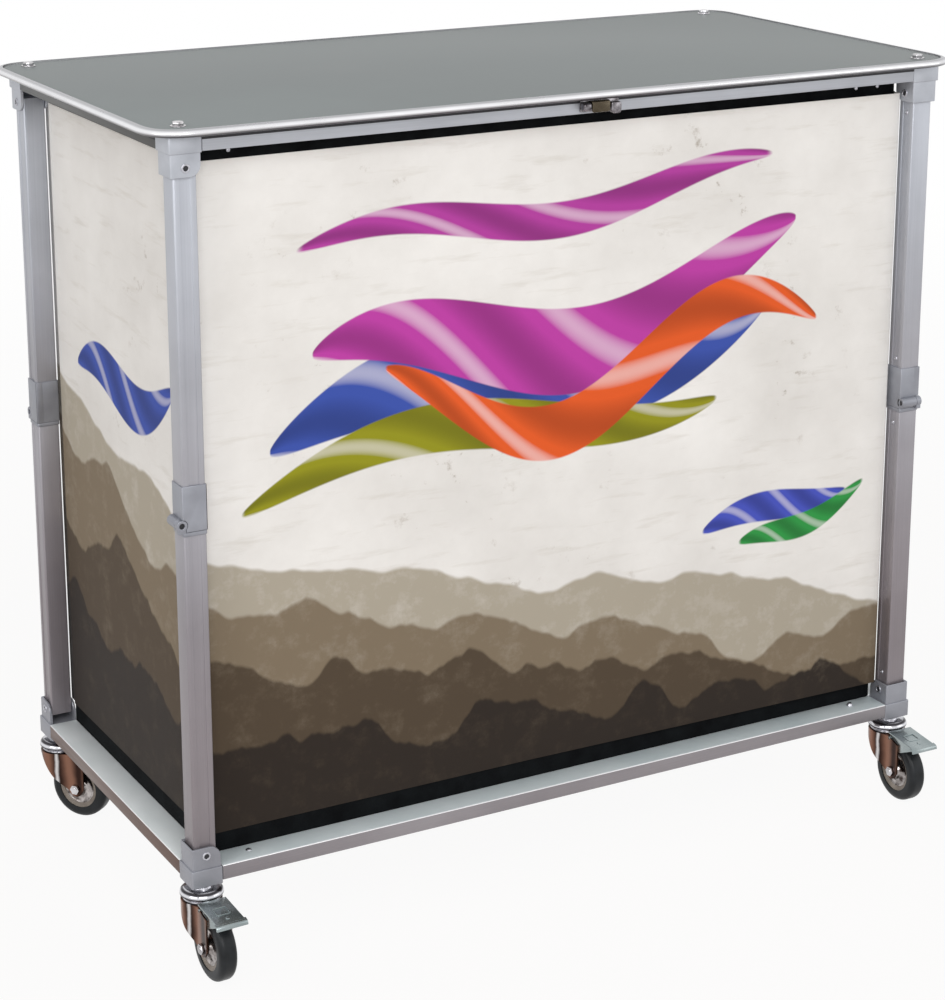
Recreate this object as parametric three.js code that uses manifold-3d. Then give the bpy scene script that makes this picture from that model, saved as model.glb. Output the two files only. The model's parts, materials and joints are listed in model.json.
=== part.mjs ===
// Folding portable bar on swivel casters: a counter and a base frame joined by four folding legs,
// each with a knee at mid height, and a fabric wrap on the front and both sides.
// Millimetres, +Z up, +X along the counter, -Y the customer's side. The origin is on the floor
// below the middle of the frame.
import * as THREE from "three";
import { mergeVertices } from "three/addons/utils/BufferGeometryUtils.js";
import Module from "manifold-3d";

const wasm = await Module();
wasm.setup();

// Overall sizes
const FRAME_LENGTH = 1110; // over the outer faces of the legs, along X
const FRAME_DEPTH = 548; // over the outer faces of the legs, along Y
const COUNTER_HEIGHT = 1077; // floor to the counter's upper face
const COUNTER_OVERHANG_X = 35; // rim beyond the legs' outer faces
const COUNTER_OVERHANG_Y = 26;

// Gaps between pieces
const SEAT_GAP = 0.3; // between faces that rest on each other
const BORE_GAP = 0.3; // round a pin, bolt or axle

// Counter
const COUNTER_CORNER_RADIUS = 60;
const PANEL_THICKNESS = 8;
const RIM_HEIGHT = 10;
const RIM_WIDTH = 9;
const RIM_ROUND = 4.5; // height of each quarter of the half-round outer edge
const RIM_PROUD = 1.5; // rim above the panel
const BOLT_RADIUS = 4;
const BOLT_HEAD_RADIUS = 7.5;
const BOLT_HEAD_HEIGHT = 4.5;
const BOLT_WASHER_RADIUS = 9.5;
const BOLT_WASHER_THICKNESS = 1.6;
const BOLT_GRIP = 12; // shank below the panel
const BOLT_RECESS = 0.8; // depth of the washer's seat in the panel

// Leg tubes
const LEG_SIDE = 30;
const LEG_WALL = 2;
const LEG_CORNER_RADIUS = 2.5;
const LEG_GROOVE_WIDTH = 14;
const LEG_GROOVE_DEPTH = 0.8;
const LEG_END = 6; // tube past the corner pins

// Corner castings of the base and the counter
const CORNER_OVERHANG = 6; // block beyond the leg on every side
const CORNER_RADIUS = 2;
const BASE_BLOCK_HEIGHT = 24;
const TOP_BLOCK_HEIGHT = 21;
const CHEEK_HEIGHT = 28.5;
const CHEEK_INSET = 2; // cheeks inside the block's faces
const CHEEK_GAP = 0.5; // cheek to leg
const CHEEK_ROUND = 14; // free corner on the folding side
const WEB_GAP = 1.7; // leg to the web that closes the outer side
const CORNER_PIN_RISE = 17.2; // pin axis past the block's face
const CORNER_PIN_RADIUS = 4;
const PIN_HEAD_RADIUS = 5.2;
const PIN_HEAD_HEIGHT = 1.3;

// Knees
const KNEE_PIN_OFFSET = 17; // pin axis outside the leg's axis
const KNEE_PIN_RADIUS = 3.4;
const KNEE_BARREL_RADIUS = 7;
const KNEE_SPLIT_DROP = 9; // split line below the pin axis
const KNEE_SLEEVE_HEIGHT = 58;
const KNEE_SLEEVE_WALL = 1.5;
const KNEE_FLOOR_THICKNESS = 2; // sleeve's floor above the lug's notch
const KNEE_BAND_HEIGHT = 5;
const KNEE_BAND_PROUD = 1.2;
const KNEE_PLUG_LENGTH = 32;
const KNEE_LUG_LENGTH = 8; // short knuckle of the lower half
const KNEE_LUG_GAP = 0.5;
const KNEE_LUG_HALF_WIDTH = 5;
const KNEE_LUG_FOOT = 1; // lug's web below the band's upper face

// Rails
const RAIL_INSET = 0.6; // rail face inside the block's face
const RAIL_HEIGHT = 19.5;
const RAIL_WALL = 2;
const RAIL_FLANGE_THICKNESS = 1.3;
const BASE_FLANGE_HEIGHT = 23; // upstand above the ledge
const TOP_FLANGE_HEIGHT = 27; // downstand below the rail

// Hook strips and fabric
const STRIP_THICKNESS = 1.2;
const STRIP_EDGE = 0.3; // strip's ends short of the flange's edges
const FABRIC_THICKNESS = 0.6;
const FABRIC_CLEARANCE = 0.5; // fabric to the passing knees
const FABRIC_CORNER_RADIUS = 20;
const FABRIC_BASE_RISE = 18; // hem above the base ledge
const FABRIC_TOP_DROP = 19.5; // hem below the counter's rail
const FABRIC_END_INSET = 23; // back edge short of the rear legs' axes
const FABRIC_LAP = 20; // left end's lap behind the rear leg
const FABRIC_LAP_CLEARANCE = 2.5; // lap's corners clear of the cheeks

// Casters
const WHEEL_DIAMETER = 89;
const WHEEL_WIDTH = 22;
const HUB_WIDTH = 28;
const HUB_RADIUS = 17;
const HUB_DISH_RADIUS = 21;
const HUB_DISH_DEPTH = 3;
const TYRE_INNER_RADIUS = 31;
const TYRE_SHOULDER = 5;
const AXLE_RADIUS = 5;
const AXLE_HEAD_RADIUS = 7.5;
const AXLE_HEAD_HEIGHT = 4.5;
const CASTER_TRAIL = 36;
const CROWN_GAP = 4; // wheel to crown
const CROWN_THICKNESS = 3;
const LOWER_RACE_RADIUS = 22;
const LOWER_RACE_HEIGHT = 5;
const UPPER_RACE_RADIUS = 28;
const UPPER_RACE_HEIGHT = 11;
const RACE_ROUND = 3.5;
const NECK_RADIUS = 15;
const NECK_HEIGHT = 5.7;
const KINGPIN_RADIUS = 6;
const KINGPIN_LENGTH = 17;
const FORK_PLATE = 2.5;
const FORK_GAP = 1.5; // hub to plate
const FORK_BOSS_RADIUS = 13;
const SKIRT_RADIUS = 27; // back of the fork about the swivel axis
const SKIRT_BACK_DROP = 10; // lower edge below the crown at the back
const SKIRT_WAIST_REACH = 13; // behind the swivel axis, where the edge turns forward
const SKIRT_WAIST_DROP = 30;
const PEDAL_PIVOT_REACH = 29; // ahead of the swivel axis
const PEDAL_PIVOT_RADIUS = 2.5;
const PEDAL_LENGTH = 57; // pivot to the turned-down tip
const PEDAL_THICKNESS = 2.2;
const PEDAL_FLANGE_DROP = 22;
const PEDAL_FLANGE_LENGTH = 20; // full depth of the flange ahead of the pivot
const PEDAL_TIP_DROP = 9;
const PEDAL_TIP_REACH = 4;
const PEDAL_TIP_OVERHANG = 4; // tip beyond the plate's sides
const PEDAL_SIDE_GAP = 0.4;

// Latch on the counter's front rail
const LATCH_OFFSET_X = 22;
const LATCH_PLATE_LENGTH = 62;
const LATCH_PLATE_HEIGHT = 15;
const LATCH_PLATE_THICKNESS = 1.6;
const LATCH_LEVER_LENGTH = 26;
const LATCH_LEVER_HEIGHT = 16;
const LATCH_LEVER_THICKNESS = 2;
const LATCH_BARREL_RADIUS = 3.4;
const LATCH_PIN_RADIUS = 1.6;
const LATCH_END_LENGTH = 11;
const LATCH_END_RADIUS = 6.5;
const LATCH_HOOK_DROP = 20;

// Positions that follow from the sizes
const LEG_HALF = LEG_SIDE / 2;
const LEG_X = FRAME_LENGTH / 2 - LEG_HALF;
const LEG_Y = FRAME_DEPTH / 2 - LEG_HALF;
const BLOCK_HALF = LEG_HALF + CORNER_OVERHANG;
const WHEEL_RADIUS = WHEEL_DIAMETER / 2;
const CROWN_Z = WHEEL_DIAMETER + CROWN_GAP;
const LOWER_RACE_Z = CROWN_Z + CROWN_THICKNESS;
const UPPER_RACE_Z = LOWER_RACE_Z + LOWER_RACE_HEIGHT;
const NECK_Z = UPPER_RACE_Z + UPPER_RACE_HEIGHT;
const RACE_TOP_Z = NECK_Z + NECK_HEIGHT;
const BASE_Z = RACE_TOP_Z + SEAT_GAP;
const LEDGE_Z = BASE_Z + BASE_BLOCK_HEIGHT;
const PANEL_Z = COUNTER_HEIGHT - PANEL_THICKNESS;
const TOP_SEAT_Z = PANEL_Z - SEAT_GAP;
const TOP_BLOCK_Z = TOP_SEAT_Z - TOP_BLOCK_HEIGHT;
const TOP_RAIL_Z = TOP_SEAT_Z - RAIL_HEIGHT;
const BASE_PIN_Z = LEDGE_Z + CORNER_PIN_RISE;
const TOP_PIN_Z = TOP_BLOCK_Z - CORNER_PIN_RISE;
const KNEE_Z = (BASE_PIN_Z + TOP_PIN_Z) / 2;
const SPLIT_Z = KNEE_Z - KNEE_SPLIT_DROP;
const SLEEVE_HALF = LEG_HALF + SEAT_GAP + KNEE_SLEEVE_WALL;
const BAND_HALF = LEG_HALF + KNEE_BAND_PROUD;
const BAND_TOP_Z = SPLIT_Z - SEAT_GAP;
const BAND_Z = BAND_TOP_Z - KNEE_BAND_HEIGHT;
const LUG_FOOT_Z = BAND_TOP_Z - KNEE_LUG_FOOT;
const LUG_SWEEP = Math.hypot(KNEE_LUG_HALF_WIDTH, KNEE_Z - LUG_FOOT_Z); // lug's reach as it swings
const NOTCH_TOP_Z = KNEE_Z + LUG_SWEEP + KNEE_LUG_GAP;
const SLEEVE_FLOOR_Z = NOTCH_TOP_Z + KNEE_FLOOR_THICKNESS;
const FABRIC_INSET = SLEEVE_HALF + FABRIC_CLEARANCE; // outer face inside the leg's axis
const STRIP_INSET = FABRIC_INSET + FABRIC_THICKNESS + SEAT_GAP;
const FLANGE_INSET = STRIP_INSET + STRIP_THICKNESS + SEAT_GAP;
const RAIL_OUT = BLOCK_HALF - RAIL_INSET; // rail face outside the leg's axis
const RAIL_IN = FLANGE_INSET + RAIL_FLANGE_THICKNESS; // rail's inner face inside the leg's axis
const RAIL_END = Math.max(BLOCK_HALF, RAIL_IN) + SEAT_GAP; // rail's end short of the leg's axis
const FORK_INNER = HUB_WIDTH / 2 + FORK_GAP;
const FORK_OUTER = FORK_INNER + FORK_PLATE;

// Each corner turns the same leg a quarter turn on: local +X is the way its knee folds.
// caster is the way its wheel trails at rest, in degrees from +X.
const CORNERS = [
  { name: "front_left", x: -LEG_X, y: -LEG_Y, turn: 0, caster: -88, brake: true },
  { name: "front_right", x: LEG_X, y: -LEG_Y, turn: 90, caster: -91, brake: true },
  { name: "rear_right", x: LEG_X, y: LEG_Y, turn: 180, caster: -105, brake: false },
  { name: "rear_left", x: -LEG_X, y: LEG_Y, turn: 270, caster: -54, brake: false },
];

// Finishes
function finish(color, roughness, metalness) {
  return new THREE.MeshStandardMaterial({ color, roughness, metalness });
}
const ALUMINIUM = finish(0xbfc1cb, 0.42, 0.9);
const CASTING = finish(0xa7abb3, 0.5, 0.7);
const BRIGHT_RIM = finish(0xd2d2d4, 0.28, 0.95);
const CHROME = finish(0xc9c9cb, 0.12, 1);
const LAMINATE = finish(0x8f9694, 0.5, 0);
const HOOK_TAPE = finish(0x121518, 0.95, 0);
const FABRIC = finish(0xe6e4dd, 0.85, 0);
const TYRE = finish(0x46494b, 0.7, 0);

const degrees = THREE.MathUtils.degToRad;

// Solids
function toSolid(geometry) {
  const bare = geometry.index ? geometry.toNonIndexed() : geometry.clone();
  bare.deleteAttribute("normal");
  bare.deleteAttribute("uv");
  const merged = mergeVertices(bare, 1e-4);
  return new wasm.Manifold(
    new wasm.Mesh({
      numProp: 3,
      vertProperties: merged.attributes.position.array,
      triVerts: new Uint32Array(merged.index.array),
    }),
  );
}

function toGeometry(solid) {
  const { numProp, numVert, vertProperties, triVerts } = solid.getMesh();
  const points = new Float32Array(numVert * 3);
  for (let i = 0; i < numVert; i += 1) {
    points.set(vertProperties.subarray(i * numProp, i * numProp + 3), i * 3);
  }
  const geometry = new THREE.BufferGeometry();
  geometry.setAttribute("position", new THREE.BufferAttribute(points, 3));
  geometry.setIndex(new THREE.BufferAttribute(triVerts, 1));
  geometry.computeVertexNormals();
  return geometry;
}

function join(...geometries) {
  return geometries.map(toSolid).reduce((all, next) => all.add(next));
}

function cut(solid, ...geometries) {
  return geometries.map(toSolid).reduce((rest, tool) => rest.subtract(tool), solid);
}

// A box between two corners
function box([x0, y0, z0], [x1, y1, z1]) {
  const geometry = new THREE.BoxGeometry(x1 - x0, y1 - y0, z1 - z0);
  return geometry.translate((x0 + x1) / 2, (y0 + y1) / 2, (z0 + z1) / 2);
}

// A shape in XY, raised from z0 to z1
function extrudeZ(shape, z0, z1, curveSegments = 4) {
  const options = { depth: z1 - z0, bevelEnabled: false, curveSegments };
  return new THREE.ExtrudeGeometry(shape, options).translate(0, 0, z0);
}

// A shape drawn in XZ, carried along Y from y0 to y1
function extrudeY(shape, y0, y1, curveSegments = 6) {
  const options = { depth: y1 - y0, bevelEnabled: false, curveSegments };
  return new THREE.ExtrudeGeometry(shape, options).rotateX(Math.PI / 2).translate(0, y1, 0);
}

// A cylinder along Y through (x, z)
function rodY(radius, y0, y1, x, z, segments = 12) {
  const geometry = new THREE.CylinderGeometry(radius, radius, y1 - y0, segments);
  return geometry.translate(x, (y0 + y1) / 2, z);
}

// A cylinder along X through (y, z)
function rodX(radius, x0, x1, y, z, segments = 12) {
  const geometry = new THREE.CylinderGeometry(radius, radius, x1 - x0, segments);
  return geometry.rotateZ(Math.PI / 2).translate((x0 + x1) / 2, y, z);
}

// A cylinder along Z through (x, y)
function rodZ(radius, z0, z1, x, y, segments = 12) {
  const geometry = new THREE.CylinderGeometry(radius, radius, z1 - z0, segments);
  return geometry.rotateX(Math.PI / 2).translate(x, y, (z0 + z1) / 2);
}

// A profile of [radius, height] pairs turned about Z
function turned(profile, segments) {
  const points = profile.map(([radius, height]) => new THREE.Vector2(radius, height));
  return new THREE.LatheGeometry(points, segments).rotateX(Math.PI / 2);
}

function roundedRectangle(halfX, halfY, radius) {
  const shape = new THREE.Shape();
  shape.absarc(halfX - radius, halfY - radius, radius, 0, Math.PI / 2);
  shape.absarc(radius - halfX, halfY - radius, radius, Math.PI / 2, Math.PI);
  shape.absarc(radius - halfX, radius - halfY, radius, Math.PI, 1.5 * Math.PI);
  shape.absarc(halfX - radius, radius - halfY, radius, 1.5 * Math.PI, 2 * Math.PI);
  shape.closePath();
  return shape;
}

const bar = new THREE.Group();

function place(parent, name, shape, material) {
  const geometry = shape.isBufferGeometry ? shape : toGeometry(shape);
  const mesh = new THREE.Mesh(geometry, material);
  mesh.name = name;
  parent.add(mesh);
  return mesh;
}

// Leg tube: a square extrusion with a shallow groove on the two faces that the pins cross
function legTube(z0, z1, pinZ) {
  const section = roundedRectangle(LEG_HALF, LEG_HALF, LEG_CORNER_RADIUS);
  const bore = LEG_HALF - LEG_WALL;
  section.holes.push(roundedRectangle(bore, bore, LEG_CORNER_RADIUS - LEG_WALL / 2));
  const groove = LEG_GROOVE_WIDTH / 2;
  const outer = LEG_HALF + LEG_WALL;
  const floor = LEG_HALF - LEG_GROOVE_DEPTH;
  return cut(
    toSolid(extrudeZ(section, z0, z1, 2)),
    box([-groove, floor, z0 - 1], [groove, outer, z1 + 1]),
    box([-groove, -outer, z0 - 1], [groove, -floor, z1 + 1]),
    rodY(CORNER_PIN_RADIUS + BORE_GAP, -outer, outer, 0, pinZ),
  );
}

// Corner casting: a block, two cheeks with the leg's pin riveted through them, and a web that
// closes the outer side. Drawn as the base's: the block stands on z = 0 and the cheeks on top of it.
function cornerCasting(blockHeight, socketRadius, socketDepth) {
  const face = BLOCK_HALF - CHEEK_INSET;
  const inner = LEG_HALF + CHEEK_GAP;
  const top = blockHeight + CHEEK_HEIGHT;
  const pinZ = blockHeight + CORNER_PIN_RISE;
  const cheek = new THREE.Shape();
  cheek.moveTo(-face, blockHeight / 2);
  cheek.lineTo(face, blockHeight / 2);
  cheek.absarc(face - CHEEK_ROUND, top - CHEEK_ROUND, CHEEK_ROUND, 0, Math.PI / 2);
  cheek.lineTo(-face, top);
  const head = face + PIN_HEAD_HEIGHT;
  const web = LEG_HALF + WEB_GAP;
  const solid = join(
    extrudeZ(roundedRectangle(BLOCK_HALF, BLOCK_HALF, CORNER_RADIUS), 0, blockHeight, 2),
    extrudeY(cheek, -face, -inner, 4),
    extrudeY(cheek, inner, face, 4),
    box([-face, -face, blockHeight / 2], [-web, face, top]),
    rodY(CORNER_PIN_RADIUS, -face, face, 0, pinZ),
    rodY(PIN_HEAD_RADIUS, -head, -inner, 0, pinZ),
    rodY(PIN_HEAD_RADIUS, inner, head, 0, pinZ),
  );
  return cut(solid, rodZ(socketRadius, -1, socketDepth, 0, 0));
}

// Lower half of a knee: a plug in the tube, a band on its end, and a short knuckle with the pin.
// The knuckle is on the leg's outward side, local -Y.
function lowerKnee() {
  const plug = LEG_HALF - LEG_WALL - SEAT_GAP;
  const plugShape = roundedRectangle(plug, plug, LEG_CORNER_RADIUS);
  const bandShape = roundedRectangle(BAND_HALF, BAND_HALF, LEG_CORNER_RADIUS);
  const lugEnd = -SLEEVE_HALF + KNEE_LUG_LENGTH;
  const axis = -KNEE_PIN_OFFSET;
  return join(
    extrudeZ(plugShape, BAND_Z - KNEE_PLUG_LENGTH, BAND_Z + 1, 2),
    extrudeZ(bandShape, BAND_Z, BAND_TOP_Z, 2),
    rodY(KNEE_BARREL_RADIUS, -SLEEVE_HALF, lugEnd, axis, KNEE_Z),
    box(
      [axis - KNEE_LUG_HALF_WIDTH, -SLEEVE_HALF, LUG_FOOT_Z],
      [axis + KNEE_LUG_HALF_WIDTH, lugEnd, KNEE_Z],
    ),
    rodY(KNEE_PIN_RADIUS, -SLEEVE_HALF + 1, SLEEVE_HALF, axis, KNEE_Z),
  );
}

// Upper half of a knee: a sleeve round the tube with a solid foot and the long knuckle. The notch
// lets the short knuckle swing half a turn.
function upperKnee() {
  const top = SPLIT_Z + KNEE_SLEEVE_HEIGHT;
  const socket = LEG_HALF + SEAT_GAP;
  const axis = -KNEE_PIN_OFFSET;
  const lugEnd = -SLEEVE_HALF + KNEE_LUG_LENGTH + KNEE_LUG_GAP;
  const lugReach = KNEE_BARREL_RADIUS + KNEE_LUG_GAP;
  const body = join(
    extrudeZ(roundedRectangle(SLEEVE_HALF, SLEEVE_HALF, LEG_CORNER_RADIUS), SPLIT_Z, top, 2),
    rodY(KNEE_BARREL_RADIUS, lugEnd, SLEEVE_HALF, axis, KNEE_Z),
  );
  return cut(
    body,
    extrudeZ(roundedRectangle(socket, socket, LEG_CORNER_RADIUS), SLEEVE_FLOOR_Z, top + 1, 2),
    box([axis - lugReach, -SLEEVE_HALF - 1, SPLIT_Z - 1], [axis + lugReach, lugEnd, NOTCH_TOP_Z]),
    rodY(KNEE_PIN_RADIUS + BORE_GAP, -SLEEVE_HALF, SLEEVE_HALF + 1, axis, KNEE_Z),
  );
}

// Rail: a hollow box extrusion along X, outward to -Y, with a flange along its inner edge for the
// hook strip. The ledge is at z = 0: the base's flange stands on it, the counter's hangs below it.
function rail(length, flangeLength, flangeFoot, flangeTop, tubeFoot) {
  const half = length / 2;
  const tubeTop = tubeFoot + RAIL_HEIGHT;
  const body = join(
    box([-half, -RAIL_OUT, tubeFoot], [half, RAIL_IN, tubeTop]),
    box([-flangeLength / 2, FLANGE_INSET, flangeFoot], [flangeLength / 2, RAIL_IN, flangeTop]),
  );
  return cut(
    body,
    box(
      [-half - 1, RAIL_WALL - RAIL_OUT, tubeFoot + RAIL_WALL],
      [half + 1, RAIL_IN - RAIL_WALL, tubeTop - RAIL_WALL],
    ),
  );
}

// Outline of a band that runs along the left side, the front and the right side
function wrapOutline(inset, thickness, cornerRadius, leftEnd, rightEnd) {
  const x = LEG_X - inset;
  const y = LEG_Y - inset;
  const inner = cornerRadius - thickness;
  const quarter = Math.PI / 2;
  const shape = new THREE.Shape();
  shape.moveTo(-x, leftEnd);
  shape.absarc(cornerRadius - x, cornerRadius - y, cornerRadius, 2 * quarter, 3 * quarter);
  shape.absarc(x - cornerRadius, cornerRadius - y, cornerRadius, 3 * quarter, 4 * quarter);
  shape.lineTo(x, rightEnd);
  shape.lineTo(x - thickness, rightEnd);
  shape.absarc(x - cornerRadius, cornerRadius - y, inner, 4 * quarter, 3 * quarter, true);
  shape.absarc(cornerRadius - x, cornerRadius - y, inner, 3 * quarter, 2 * quarter, true);
  shape.lineTo(thickness - x, leftEnd);
  shape.closePath();
  return shape;
}

// Swivel fork: kingpin, two ball races and a pressed skirt. In plan the skirt is a horseshoe, round
// at the back and drawn in to two plates beside the wheel; its lower edge sweeps to the axle.
// Local +X is the way the wheel trails.
function casterFork() {
  const round = RACE_ROUND;
  const head = turned(
    [
      [0, CROWN_Z],
      [SKIRT_RADIUS, CROWN_Z],
      [SKIRT_RADIUS, LOWER_RACE_Z],
      [LOWER_RACE_RADIUS, LOWER_RACE_Z],
      [LOWER_RACE_RADIUS, UPPER_RACE_Z],
      [UPPER_RACE_RADIUS - round, UPPER_RACE_Z],
      [UPPER_RACE_RADIUS, UPPER_RACE_Z + round],
      [UPPER_RACE_RADIUS, NECK_Z - 2 * round],
      [UPPER_RACE_RADIUS - 2 * round, NECK_Z],
      [NECK_RADIUS, NECK_Z],
      [NECK_RADIUS, RACE_TOP_Z],
      [KINGPIN_RADIUS, RACE_TOP_Z],
      [KINGPIN_RADIUS, RACE_TOP_Z + KINGPIN_LENGTH],
      [0, RACE_TOP_Z + KINGPIN_LENGTH],
    ],
    20,
  );
  const quarter = Math.PI / 2;
  const taperEnd = CASTER_TRAIL - FORK_BOSS_RADIUS;
  const front = CASTER_TRAIL + FORK_BOSS_RADIUS;
  const plan = new THREE.Shape();
  plan.moveTo(front, FORK_OUTER);
  plan.lineTo(taperEnd, FORK_OUTER);
  plan.absarc(0, 0, SKIRT_RADIUS, quarter, 3 * quarter);
  plan.lineTo(taperEnd, -FORK_OUTER);
  plan.lineTo(front, -FORK_OUTER);
  plan.lineTo(front, -FORK_INNER);
  plan.lineTo(taperEnd, -FORK_INNER);
  plan.absarc(0, 0, SKIRT_RADIUS - FORK_PLATE, 3 * quarter, quarter, true);
  plan.lineTo(taperEnd, FORK_INNER);
  plan.lineTo(front, FORK_INNER);
  plan.closePath();
  const back = -SKIRT_RADIUS - 1;
  const foot = WHEEL_RADIUS - FORK_BOSS_RADIUS;
  const edge = new THREE.Shape();
  edge.moveTo(back, LOWER_RACE_Z);
  edge.lineTo(back, CROWN_Z - SKIRT_BACK_DROP);
  edge.lineTo(-SKIRT_WAIST_REACH, CROWN_Z - SKIRT_WAIST_DROP);
  edge.absarc(CASTER_TRAIL, WHEEL_RADIUS, FORK_BOSS_RADIUS, degrees(215), degrees(360));
  edge.lineTo(front, LOWER_RACE_Z);
  edge.closePath();
  const skirt = toSolid(extrudeZ(plan, foot - 1, LOWER_RACE_Z, 8)).intersect(
    toSolid(extrudeY(edge, back, -back, 5)),
  );
  const reach = FORK_OUTER + 1;
  return cut(
    skirt.add(toSolid(head)),
    rodY(AXLE_RADIUS + BORE_GAP, -reach, reach, CASTER_TRAIL, WHEEL_RADIUS),
    rodY(PEDAL_PIVOT_RADIUS + BORE_GAP, -reach, reach, PEDAL_PIVOT_REACH, CROWN_Z),
  );
}

// Wheel: hub, dished face and solid tyre, turned about the axle along Y
function casterWheel() {
  const hub = HUB_WIDTH / 2;
  const side = WHEEL_WIDTH / 2;
  const dish = side - HUB_DISH_DEPTH;
  const crown = WHEEL_RADIUS - TYRE_SHOULDER;
  const half = [
    [AXLE_RADIUS + BORE_GAP, hub],
    [HUB_RADIUS, hub],
    [HUB_RADIUS, dish],
    [HUB_DISH_RADIUS, dish],
    [TYRE_INNER_RADIUS, side],
    [crown, side],
    [WHEEL_RADIUS, side - TYRE_SHOULDER],
  ];
  const mirrored = half.map(([radius, y]) => [radius, -y]);
  const profile = [...mirrored, ...half.reverse(), mirrored[0]];
  const points = profile.map(([radius, y]) => new THREE.Vector2(radius, y));
  return new THREE.LatheGeometry(points, 20).translate(CASTER_TRAIL, 0, WHEEL_RADIUS);
}

// Axle bolt with its head and nut outside the fork
function casterAxle() {
  const seat = FORK_OUTER + SEAT_GAP;
  const end = seat + AXLE_HEAD_HEIGHT;
  const profile = [
    [0, -end],
    [AXLE_HEAD_RADIUS, -end],
    [AXLE_HEAD_RADIUS, -seat],
    [AXLE_RADIUS, -seat],
    [AXLE_RADIUS, seat],
    [AXLE_HEAD_RADIUS, seat],
    [AXLE_HEAD_RADIUS, end],
    [0, end],
  ];
  const points = profile.map(([radius, y]) => new THREE.Vector2(radius, y));
  return new THREE.LatheGeometry(points, 12).translate(CASTER_TRAIL, 0, WHEEL_RADIUS);
}

// Brake pedal: a pressed channel on a pivot between the fork's plates. Its flanges run out towards
// the tip, which is turned down and wider than the plate.
function brakePedal() {
  const half = FORK_INNER - PEDAL_SIDE_GAP;
  const inner = half - PEDAL_THICKNESS;
  const tipHalf = half + PEDAL_TIP_OVERHANG;
  const tipX = PEDAL_PIVOT_REACH + PEDAL_LENGTH;
  const top = CROWN_Z + PEDAL_THICKNESS;
  const flange = new THREE.Shape();
  flange.moveTo(PEDAL_PIVOT_REACH, top);
  flange.lineTo(PEDAL_PIVOT_REACH, CROWN_Z - PEDAL_FLANGE_DROP);
  flange.lineTo(PEDAL_PIVOT_REACH + PEDAL_FLANGE_LENGTH, CROWN_Z - PEDAL_FLANGE_DROP);
  flange.lineTo(tipX - PEDAL_THICKNESS, CROWN_Z);
  flange.lineTo(tipX - PEDAL_THICKNESS, top);
  flange.closePath();
  const tip = new THREE.Shape();
  tip.moveTo(tipX - PEDAL_THICKNESS, CROWN_Z);
  tip.lineTo(tipX + PEDAL_TIP_REACH - PEDAL_THICKNESS, CROWN_Z - PEDAL_TIP_DROP);
  tip.lineTo(tipX + PEDAL_TIP_REACH, CROWN_Z - PEDAL_TIP_DROP);
  tip.lineTo(tipX, top);
  tip.lineTo(tipX - PEDAL_THICKNESS, top);
  tip.closePath();
  return join(
    box([PEDAL_PIVOT_REACH, -half, CROWN_Z], [tipX - PEDAL_THICKNESS / 2, half, top]),
    extrudeY(flange, -half, -inner),
    extrudeY(flange, inner, half),
    extrudeY(tip, -tipHalf, tipHalf),
    rodY(PEDAL_PIVOT_RADIUS, -FORK_OUTER, FORK_OUTER, PEDAL_PIVOT_REACH, CROWN_Z),
  );
}

// Legs, corners and casters at the four corners
for (const corner of CORNERS) {
  const post = new THREE.Group();
  post.position.set(corner.x, corner.y, 0);
  post.rotation.z = degrees(corner.turn);
  bar.add(post);
  const { name } = corner;

  const socket = KINGPIN_RADIUS + BORE_GAP;
  const baseCasting = cornerCasting(BASE_BLOCK_HEIGHT, socket, KINGPIN_LENGTH + 1);
  place(post, `base_corner_${name}`, baseCasting, CASTING).position.z = BASE_Z;

  const lowerTube = legTube(BASE_PIN_Z - LEG_END, BAND_Z - SEAT_GAP, BASE_PIN_Z);
  place(post, `lower_leg_${name}`, lowerTube, ALUMINIUM);
  place(post, `lower_knee_${name}`, lowerKnee(), CASTING);
  place(post, `upper_knee_${name}`, upperKnee(), CASTING);

  const upperTube = legTube(SLEEVE_FLOOR_Z + SEAT_GAP, TOP_PIN_Z + LEG_END, TOP_PIN_Z);
  place(post, `upper_leg_${name}`, upperTube, ALUMINIUM);

  const topCasting = cornerCasting(TOP_BLOCK_HEIGHT, BOLT_RADIUS + BORE_GAP, BOLT_GRIP + 1);
  const topCorner = place(post, `top_corner_${name}`, topCasting, CASTING);
  topCorner.rotation.x = Math.PI;
  topCorner.position.z = TOP_SEAT_Z;

  const washerZ = SEAT_GAP - BOLT_RECESS;
  const headZ = washerZ + BOLT_WASHER_THICKNESS;
  const bolt = join(
    rodZ(BOLT_RADIUS, -PANEL_THICKNESS - BOLT_GRIP, washerZ + 1, 0, 0),
    rodZ(BOLT_WASHER_RADIUS, washerZ, headZ, 0, 0, 16),
    rodZ(BOLT_HEAD_RADIUS, headZ - 1, headZ + BOLT_HEAD_HEIGHT, 0, 0, 6),
  );
  place(post, `counter_bolt_${name}`, bolt, CHROME).position.z = COUNTER_HEIGHT;

  const caster = new THREE.Group();
  caster.position.set(corner.x, corner.y, 0);
  caster.rotation.z = degrees(corner.caster);
  bar.add(caster);
  place(caster, `caster_fork_${name}`, casterFork(), CHROME);
  place(caster, `caster_wheel_${name}`, casterWheel(), TYRE);
  place(caster, `caster_axle_${name}`, casterAxle(), CHROME);
  if (corner.brake) place(caster, `brake_pedal_${name}`, brakePedal(), CHROME);
}

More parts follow.
